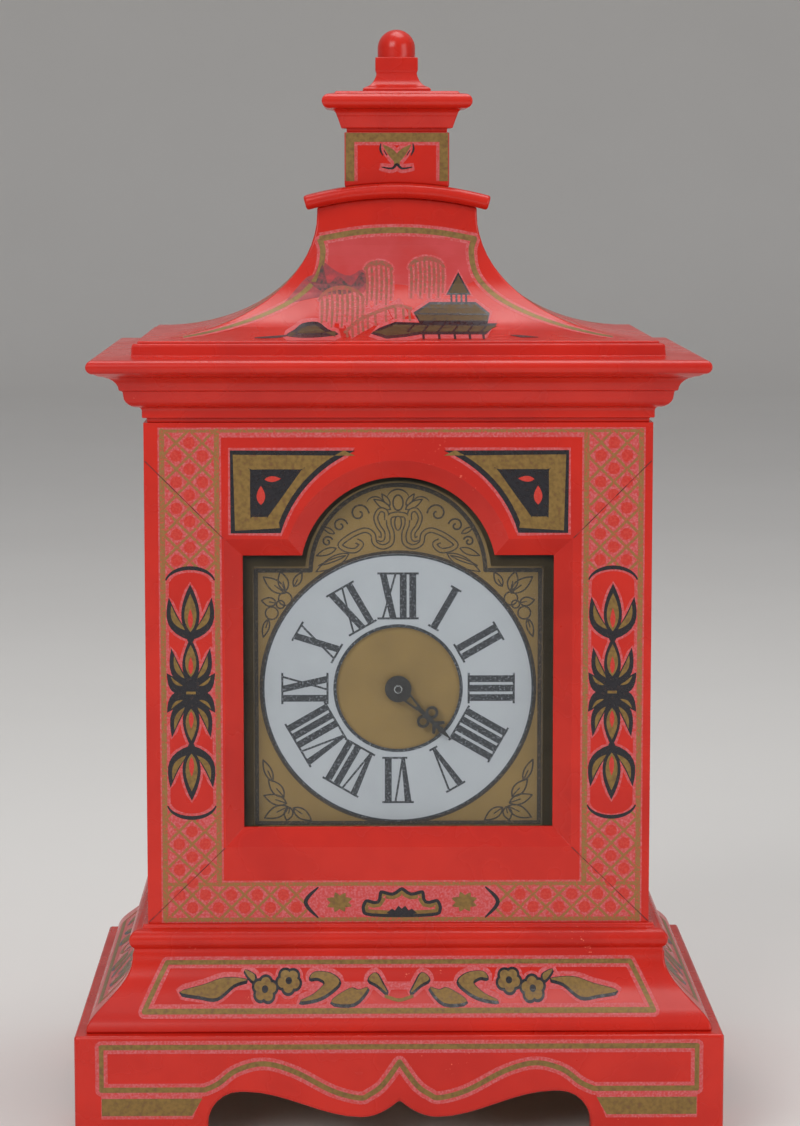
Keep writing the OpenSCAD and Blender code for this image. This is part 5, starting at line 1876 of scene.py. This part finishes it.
@dataclass
class Dial:
    """Break-arch dial with a silvered chapter ring, numerals and engraved ornament."""

    centre_z: float = 132.0
    plate_y: float = -36.5
    ring_y: float = -37.3
    ring_r: float = 40.4
    inner_r: float = 18.5
    numeral_in: float = 21.0
    numeral_out: float = 34.6
    bar_w: float = 2.05
    hair_w: float = 0.62
    step: float = 2.85

    def glyph(self, letter: str, x: float) -> tuple[list[Outline], float]:
        """One letter of a numeral, from its left edge.

        Args:
            letter: I, V or X.
            x: Its left edge.

        Returns:
            Its outlines and its width.
        """
        low, high = self.numeral_in, self.numeral_out
        thick, thin = self.bar_w, self.hair_w
        if letter == "I":
            return [box(x + 0.4, low, x + 0.4 + thick, high)], self.step
        if letter == "V":
            mid = x + 2.9
            return [[(x + 0.3, high), (x + 0.3 + thick, high), (mid + 0.55, low), (mid - 0.55, low)],
                    [(x + 4.9, high), (x + 5.5, high), (mid + 0.4, low), (mid - 0.2, low)]], 5.9
        return [[(x + 0.3, high), (x + 0.3 + thick, high), (x + 5.4, low), (x + 5.4 - thick, low)],
                [(x + 4.8, high), (x + 4.8 + thin, high), (x + 0.9 + thin, low), (x + 0.9, low)]], 5.9

    def numeral(self, text: str) -> list[Outline]:
        """A whole numeral upright over the centre, with serif lines.

        Args:
            text: The numeral in Roman letters.

        Returns:
            The outlines, in millimetres.
        """
        width = sum(self.glyph(letter, 0.0)[1] for letter in text)
        x, shapes = -width / 2, []
        for letter in text:
            parts, advance = self.glyph(letter, x)
            shapes += parts
            x += advance
        low, high = self.numeral_in, self.numeral_out
        top = width / 2 + 0.35
        foot_left = -width / 2 + (1.6 if text[0] == "V" else -0.35)
        foot_right = width / 2 - (1.6 if text[-1] == "V" else -0.35)
        shapes.append(box(-top, high - self.hair_w * 0.6, top, high + self.hair_w * 0.4))
        shapes.append(box(foot_left, low - self.hair_w * 0.4, foot_right, low + self.hair_w * 0.6))
        return shapes

    def numerals(self) -> list[Outline]:
        """All twelve, each with its head outwards.

        Returns:
            The outlines, in millimetres.
        """
        shapes = []
        for hour, text in enumerate(("XII", "I", "II", "III", "IIII", "V", "VI", "VII", "VIII", "IX", "X",
                                     "XI")):
            shapes += [moved(s, (0.0, self.centre_z), -30.0 * hour) for s in self.numeral(text)]
        return shapes

    def opening(self, side: float, low: float, shoulder: float, radius: float) -> Outline:
        """The break-arch line round the plate.

        Args:
            side: Half its width.
            low: The height of its lower edge.
            shoulder: The height where the arch begins.
            radius: The radius of its arch.

        Returns:
            The closed outline.
        """
        arch = 166.9
        start = math.degrees(math.asin((shoulder - arch) / radius))
        return [(-side, low), (side, low), (side, shoulder),
                *arc_points((0.0, arch), (radius, radius), start, 180 - start, 36), (-side, shoulder)]

    def straps(self) -> list[tuple[Outline, float]]:
        """Middle lines and widths of the strapwork and scrolls in the arch.

        Returns:
            Each middle line with its width.
        """
        half = [
            (smooth([(0.0, 184.2), (-2.4, 183.6), (-2.7, 181.2), (-1.8, 178.4), (-2.1, 175.6), (-4.5, 174.4),
                     (-6.9, 175.6), (-7.5, 178.2), (-9.7, 179.4), (-12.8, 178.4), (-15.4, 176.8),
                     (-17.2, 175.0),
                     (-15.4, 173.6), (-12.6, 173.4), (-10.9, 175.2), (-12.4, 176.2)], 5), 1.75),
            (smooth([(-3.4, 182.4), (-3.6, 184.9), (-5.4, 185.4), (-6.6, 183.2), (-5.8, 180.6), (-4.5, 178.6),
                     (-4.7, 176.7), (-6.0, 176.9)], 5), 1.6),
        ]
        for x, z, r, turn in ((-11.6, 184.4, 3.0, 0), (-17.2, 180.8, 2.3, 10), (-21.0, 176.0, 1.7, 20)):
            coil = [(x + r * (1 - i / 22) * math.cos(math.radians(turn + 24 * i)),
                     z + r * (1 - i / 22) * math.sin(math.radians(turn + 24 * i))) for i in range(19)]
            half.append((coil, 0.95))
        return half + [([(-x, z) for x, z in pts], width) for pts, width in half]

    def palmette(self) -> list[Outline]:
        """Leaves and buds engraved among the straps.

        Returns:
            The outlines, in millimetres.
        """
        half = []
        for root, tip, w in (((-14.6, 172.4), (-24.4, 167.0), 3.2), ((-15.6, 171.8), (-23.6, 168.8), 0.9),
                             ((-18.4, 174.0), (-24.2, 171.8), 1.9), ((-2.2, 185.6), (-7.2, 188.6), 1.9),
                             ((-2.4, 186.8), (-4.8, 190.2), 1.5), ((-18.9, 178.4), (-22.4, 180.4), 1.3)):
            half += ring(petal(root, tip, w), 0.42)
        half += [stroke(arc_points((-6.8, 187.0), (2.6, 2.4), 20, 160, 10), 0.45, 0.5)]
        middle = ring(arc_points((0.0, 187.6), (1.5, 2.3), 0, 345, 16), 0.5)
        middle += ring(arc_points((0.0, 181.6), (1.0, 2.2), 0, 345, 16), 0.45)
        middle += [stroke(arc_points((0.0, 188.4), (3.4, 3.2), 20, 160, 12), 0.5, 0.4)]
        return half + mirrored(half) + middle

    def foliage(self) -> list[Outline]:
        """Leaves and berries in the four corners of the plate.

        Returns:
            The outlines, in millimetres.
        """
        leaves = [((-33.6, 160.6), (-40.0, 165.4), 3.4), ((-33.4, 161.2), (-35.0, 167.0), 3.0),
                  ((-31.0, 162.6), (-28.6, 166.8), 2.2), ((-36.2, 157.6), (-40.6, 158.4), 2.6),
                  ((-38.6, 152.8), (-40.2, 147.4), 1.9)]
        berries = [(-37.6, 154.6, 1.9), (-35.0, 157.2, 1.2), (-33.6, 158.9, 2.0)]
        low = [((-33.0, 96.0), (-40.0, 92.6), 3.4), ((-33.4, 97.0), (-40.2, 99.4), 3.0),
               ((-32.4, 95.8), (-33.4, 91.8), 2.6), ((-31.4, 95.6), (-26.0, 91.8), 3.0),
               ((-34.2, 99.0), (-38.8, 104.2), 3.2), ((-37.6, 103.8), (-40.4, 110.2), 2.2)]
        shapes = [s for root, tip, w in leaves + low for s in ring(petal(root, tip, w), 0.48)]
        shapes += [stroke([root, ((root[0] + tip[0]) / 2, (root[1] + tip[1]) / 2)], 0.4)
                   for root, tip, _ in leaves + low]
        shapes += [s for x, z, r in berries for s in ring(disc((x, z), r, 16), 0.48)]
        return shapes + mirrored(shapes)

    def build(self) -> None:
        """Dress the dial, its ring, glass, spacer and hand."""
        plate = Face(((60.0, -self.plate_y), (220.0, -self.plate_y)))
        chapter = Face(((60.0, -self.ring_y), (220.0, -self.ring_y)))
        dress("glass_pane", Finish.GLASS)
        # The spacer's dark brass colour is painted shade.
        dress("dial_mask", Finish.MASK)
        # The dial plate's dark brass is painted shade.
        dress("dial_plate", Finish.DIAL)
        # The chapter ring's mid-grey is painted shade.
        dress("chapter_ring", Finish.RING)
        dress("hour_hand", Finish.BLUED)
        paint("numerals", [Layer(chapter, self.numerals())], Finish.INK, 0.03)
        rim = ring(disc((0.0, self.centre_z), self.ring_r - 0.25, 96), 0.6)
        rim += ring(disc((0.0, self.centre_z), self.inner_r + 0.35, 72), 0.95)
        paint("ring_lines", [Layer(chapter, rim)], Finish.INK, 0.04)
        border = ring(self.opening(42.3, 91.0, 167.4, 26.0), 1.3)
        outside = ring(disc((0.0, self.centre_z), self.ring_r + 0.5, 96), 0.95)
        straps = self.straps()
        paint("engraving", [Layer(plate, border + outside + self.palmette() + self.foliage()
                                  + [stroke(pts, w if w > 1.0 else 0.55) for pts, w in straps],
                                  within=[self.opening(42.9, 90.3, 168.6, 27.3)])], Finish.LINE, 0.03)
        paint("strapwork", [Layer(plate, [stroke(pts, w - 0.85) for pts, w in straps if w > 1.0])],
              Finish.DIAL, 0.045)
        boss = Face(((60.0, 38.9), (220.0, 38.9)))
        paint("hand_collar", [Layer(boss, [disc((0.0, self.centre_z), 3.2, 40)],
                                    gaps=[disc((0.0, self.centre_z), 1.25, 24)])], Finish.BLUED, 0.04,
                                    "hour_work")
        end = Face(((60.0, 39.9), (220.0, 39.9)))
        paint("arbor_end", [Layer(end, [disc((0.0, self.centre_z), 0.95, 24)])], Finish.BLUED, 0.03,
              "centre_arbor")


def dress(node: str, finish: Finish) -> None:
    """Give a CAD node its finish.

    Args:
        node: The node's name.
        finish: Its finish.
    """
    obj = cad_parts[node]
    if not obj.data.materials:
        obj.data.materials.append(finish.material())
    for index in range(len(obj.data.materials)):
        obj.data.materials[index] = finish.material()
    log.info("%s dressed in %s", node, finish.name)


@dataclass
class Back:
    """Back door with its knob, hinges, turn-button and screws."""

    screw: dict[str, float] = field(default_factory=lambda: {
        "Head radius": 1.55 * MM, "Slot width": 0.42 * MM, "Shank radius": 0.85 * MM,
        "Shank length": 5.5 * MM})

    def build(self) -> None:
        """Make the door and its metalwork."""
        Woodwork("door_panel", ("back_door",), ease=0.7, body="door").build()
        for node in ("door_knob", "turn_button", "hinge_case_leaves", "hinge_door_leaves", "hinge_pins"):
            dress(node, Finish.BRASS)
        for node, body in (("case_screws", "case"), ("door_screws", "door")):
            places = [Vector(((low.x + high.x) / 2, high.y - 0.35 * MM, (low.z + high.z) / 2))
                      for low, high in islands(node)]
            SlottedScrews(node + "_tree", self.screw, Finish.BRASS).build(node + "_slotted", places, body,
                                                                          (node,))


@dataclass
class Movement:
    """Rear-wound movement: brass plates and wheels, steel arbors and springs."""

    brass: tuple[str, ...] = ("front_plate", "rear_plate", "pillars", "barrel", "intermediate_wheel",
                              "centre_wheel", "third_wheel", "fourth_wheel", "escape_wheel", "minute_wheel",
                              "hour_wheel", "balance", "dial_feet")
    steel: tuple[str, ...] = ("mainspring", "barrel_arbor", "ratchet_wheel", "click", "winding_key", "lever",
                              "hairspring", "centre_arbor", "dial_screws")

    def build(self) -> None:
        """Dress every piece of the movement."""
        for node in self.brass:
            dress(node, Finish.BRASS)
        for node in self.steel:
            dress(node, Finish.STEEL)


@dataclass
class Studio:
    """Pale floor, soft lights and the camera."""

    eye: tuple[float, float, float] = (-0.0126, -0.981, 0.2855)
    pitch: float = 7.0
    yaw: float = 0.8
    lens: float = 144.0
    floor_r: float = 3.2

    def floor(self) -> None:
        """A round pale floor that curves up into a wall on every side."""
        flat, bend = self.floor_r, 0.8
        profile = [(0.6, 0.0), (flat, 0.0)] + [(flat + bend * math.sin(math.radians(a)),
                                                bend - bend * math.cos(math.radians(a)))
                                                for a in range(10, 91, 10)]
        profile.append((flat + bend, 3.2))
        turns = [math.tau * k / 96 for k in range(96)]
        places = [(r * math.cos(a), r * math.sin(a), z) for r,
                  z in profile for a in turns] + [(0.0, 0.0, 0.0)]
        faces = [(96 * i + k, 96 * i + 96 + k, 96 * i + 96 + (k + 1) % 96, 96 * i + (k + 1) % 96)
                 for i in range(len(profile) - 1) for k in range(96)]
        faces += [(len(places) - 1, k, (k + 1) % 96) for k in range(96)]
        mesh = bpy.data.meshes.new("studio_floor")
        mesh.from_pydata(places, [], faces)
        mesh.shade_smooth()
        material, graph, shader, at = start_material("pale_floor")
        wear = group_node(graph, wear_group(), {"Vector": at, "Scale": 3.0, "Amount": 0.0})
        graph.tree.links.new(graph.blend(wear.outputs["Cloud"], (0.74, 0.72, 0.69), (0.79, 0.77, 0.74)),
                             shader.inputs["Base Color"])
        shader.inputs["Roughness"].default_value = 0.7
        mesh.materials.append(material)
        piece = bpy.data.objects.new("studio_floor", mesh)
        bpy.context.scene.collection.objects.link(piece)

    def lamp(self, name: str, place: tuple[float, float, float], size: Point, power: float,
             aim: tuple[float, float, float] = (0.0, 0.0, 0.16)) -> None:
        """A soft rectangular lamp.

        Args:
            name: Its name.
            place: Where it hangs.
            size: Its width and height in metres.
            power: Its power in watts.
            aim: The point that it faces.
        """
        light = bpy.data.lights.new(name, "AREA")
        light.shape = "RECTANGLE"
        light.size, light.size_y = size
        light.energy = power
        lamp = bpy.data.objects.new(name, light)
        bpy.context.scene.collection.objects.link(lamp)
        lamp.location = place
        lamp.rotation_euler = (Vector(aim) - Vector(place)).to_track_quat("-Z", "Y").to_euler()

    def build(self) -> None:
        """Set up the studio."""
        self.floor()
        self.lamp("key", (-0.75, -1.35, 1.05), (0.9, 0.9), 13.5)
        self.lamp("fill", (1.2, -1.1, 0.55), (0.9, 0.9), 6.0)
        self.lamp("top", (0.1, 0.1, 1.5), (1.0, 0.8), 9.0)
        world = bpy.data.worlds.new("studio_air")
        world.use_nodes = True
        world.node_tree.nodes["Background"].inputs["Color"].default_value = (0.93, 0.95, 1.0, 1.0)
        world.node_tree.nodes["Background"].inputs["Strength"].default_value = 0.42
        bpy.context.scene.world = world
        bpy.context.scene.view_settings.view_transform = "Standard"
        camera = bpy.data.cameras.new("camera")
        camera.lens = self.lens
        camera.sensor_fit = "HORIZONTAL"
        camera.sensor_width = 36.0
        stand = bpy.data.objects.new("camera", camera)
        stand.location = self.eye
        stand.rotation_euler = (math.radians(90 - self.pitch), 0.0, math.radians(-self.yaw))
        bpy.context.scene.collection.objects.link(stand)
        bpy.context.scene.camera = stand


def main() -> None:
    """Build every sub-assembly in order."""
    logging.basicConfig(level=logging.INFO, format="%(message)s")
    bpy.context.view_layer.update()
    for part in (Studio(), Plinth(), BaseMoulding(), CaseFront(), CaseBody(), Roof(), Dial(), Back(),
                 Movement()):
        log.info("building %s", type(part).__name__)
        part.build()


if __name__ == "__main__":
    main()
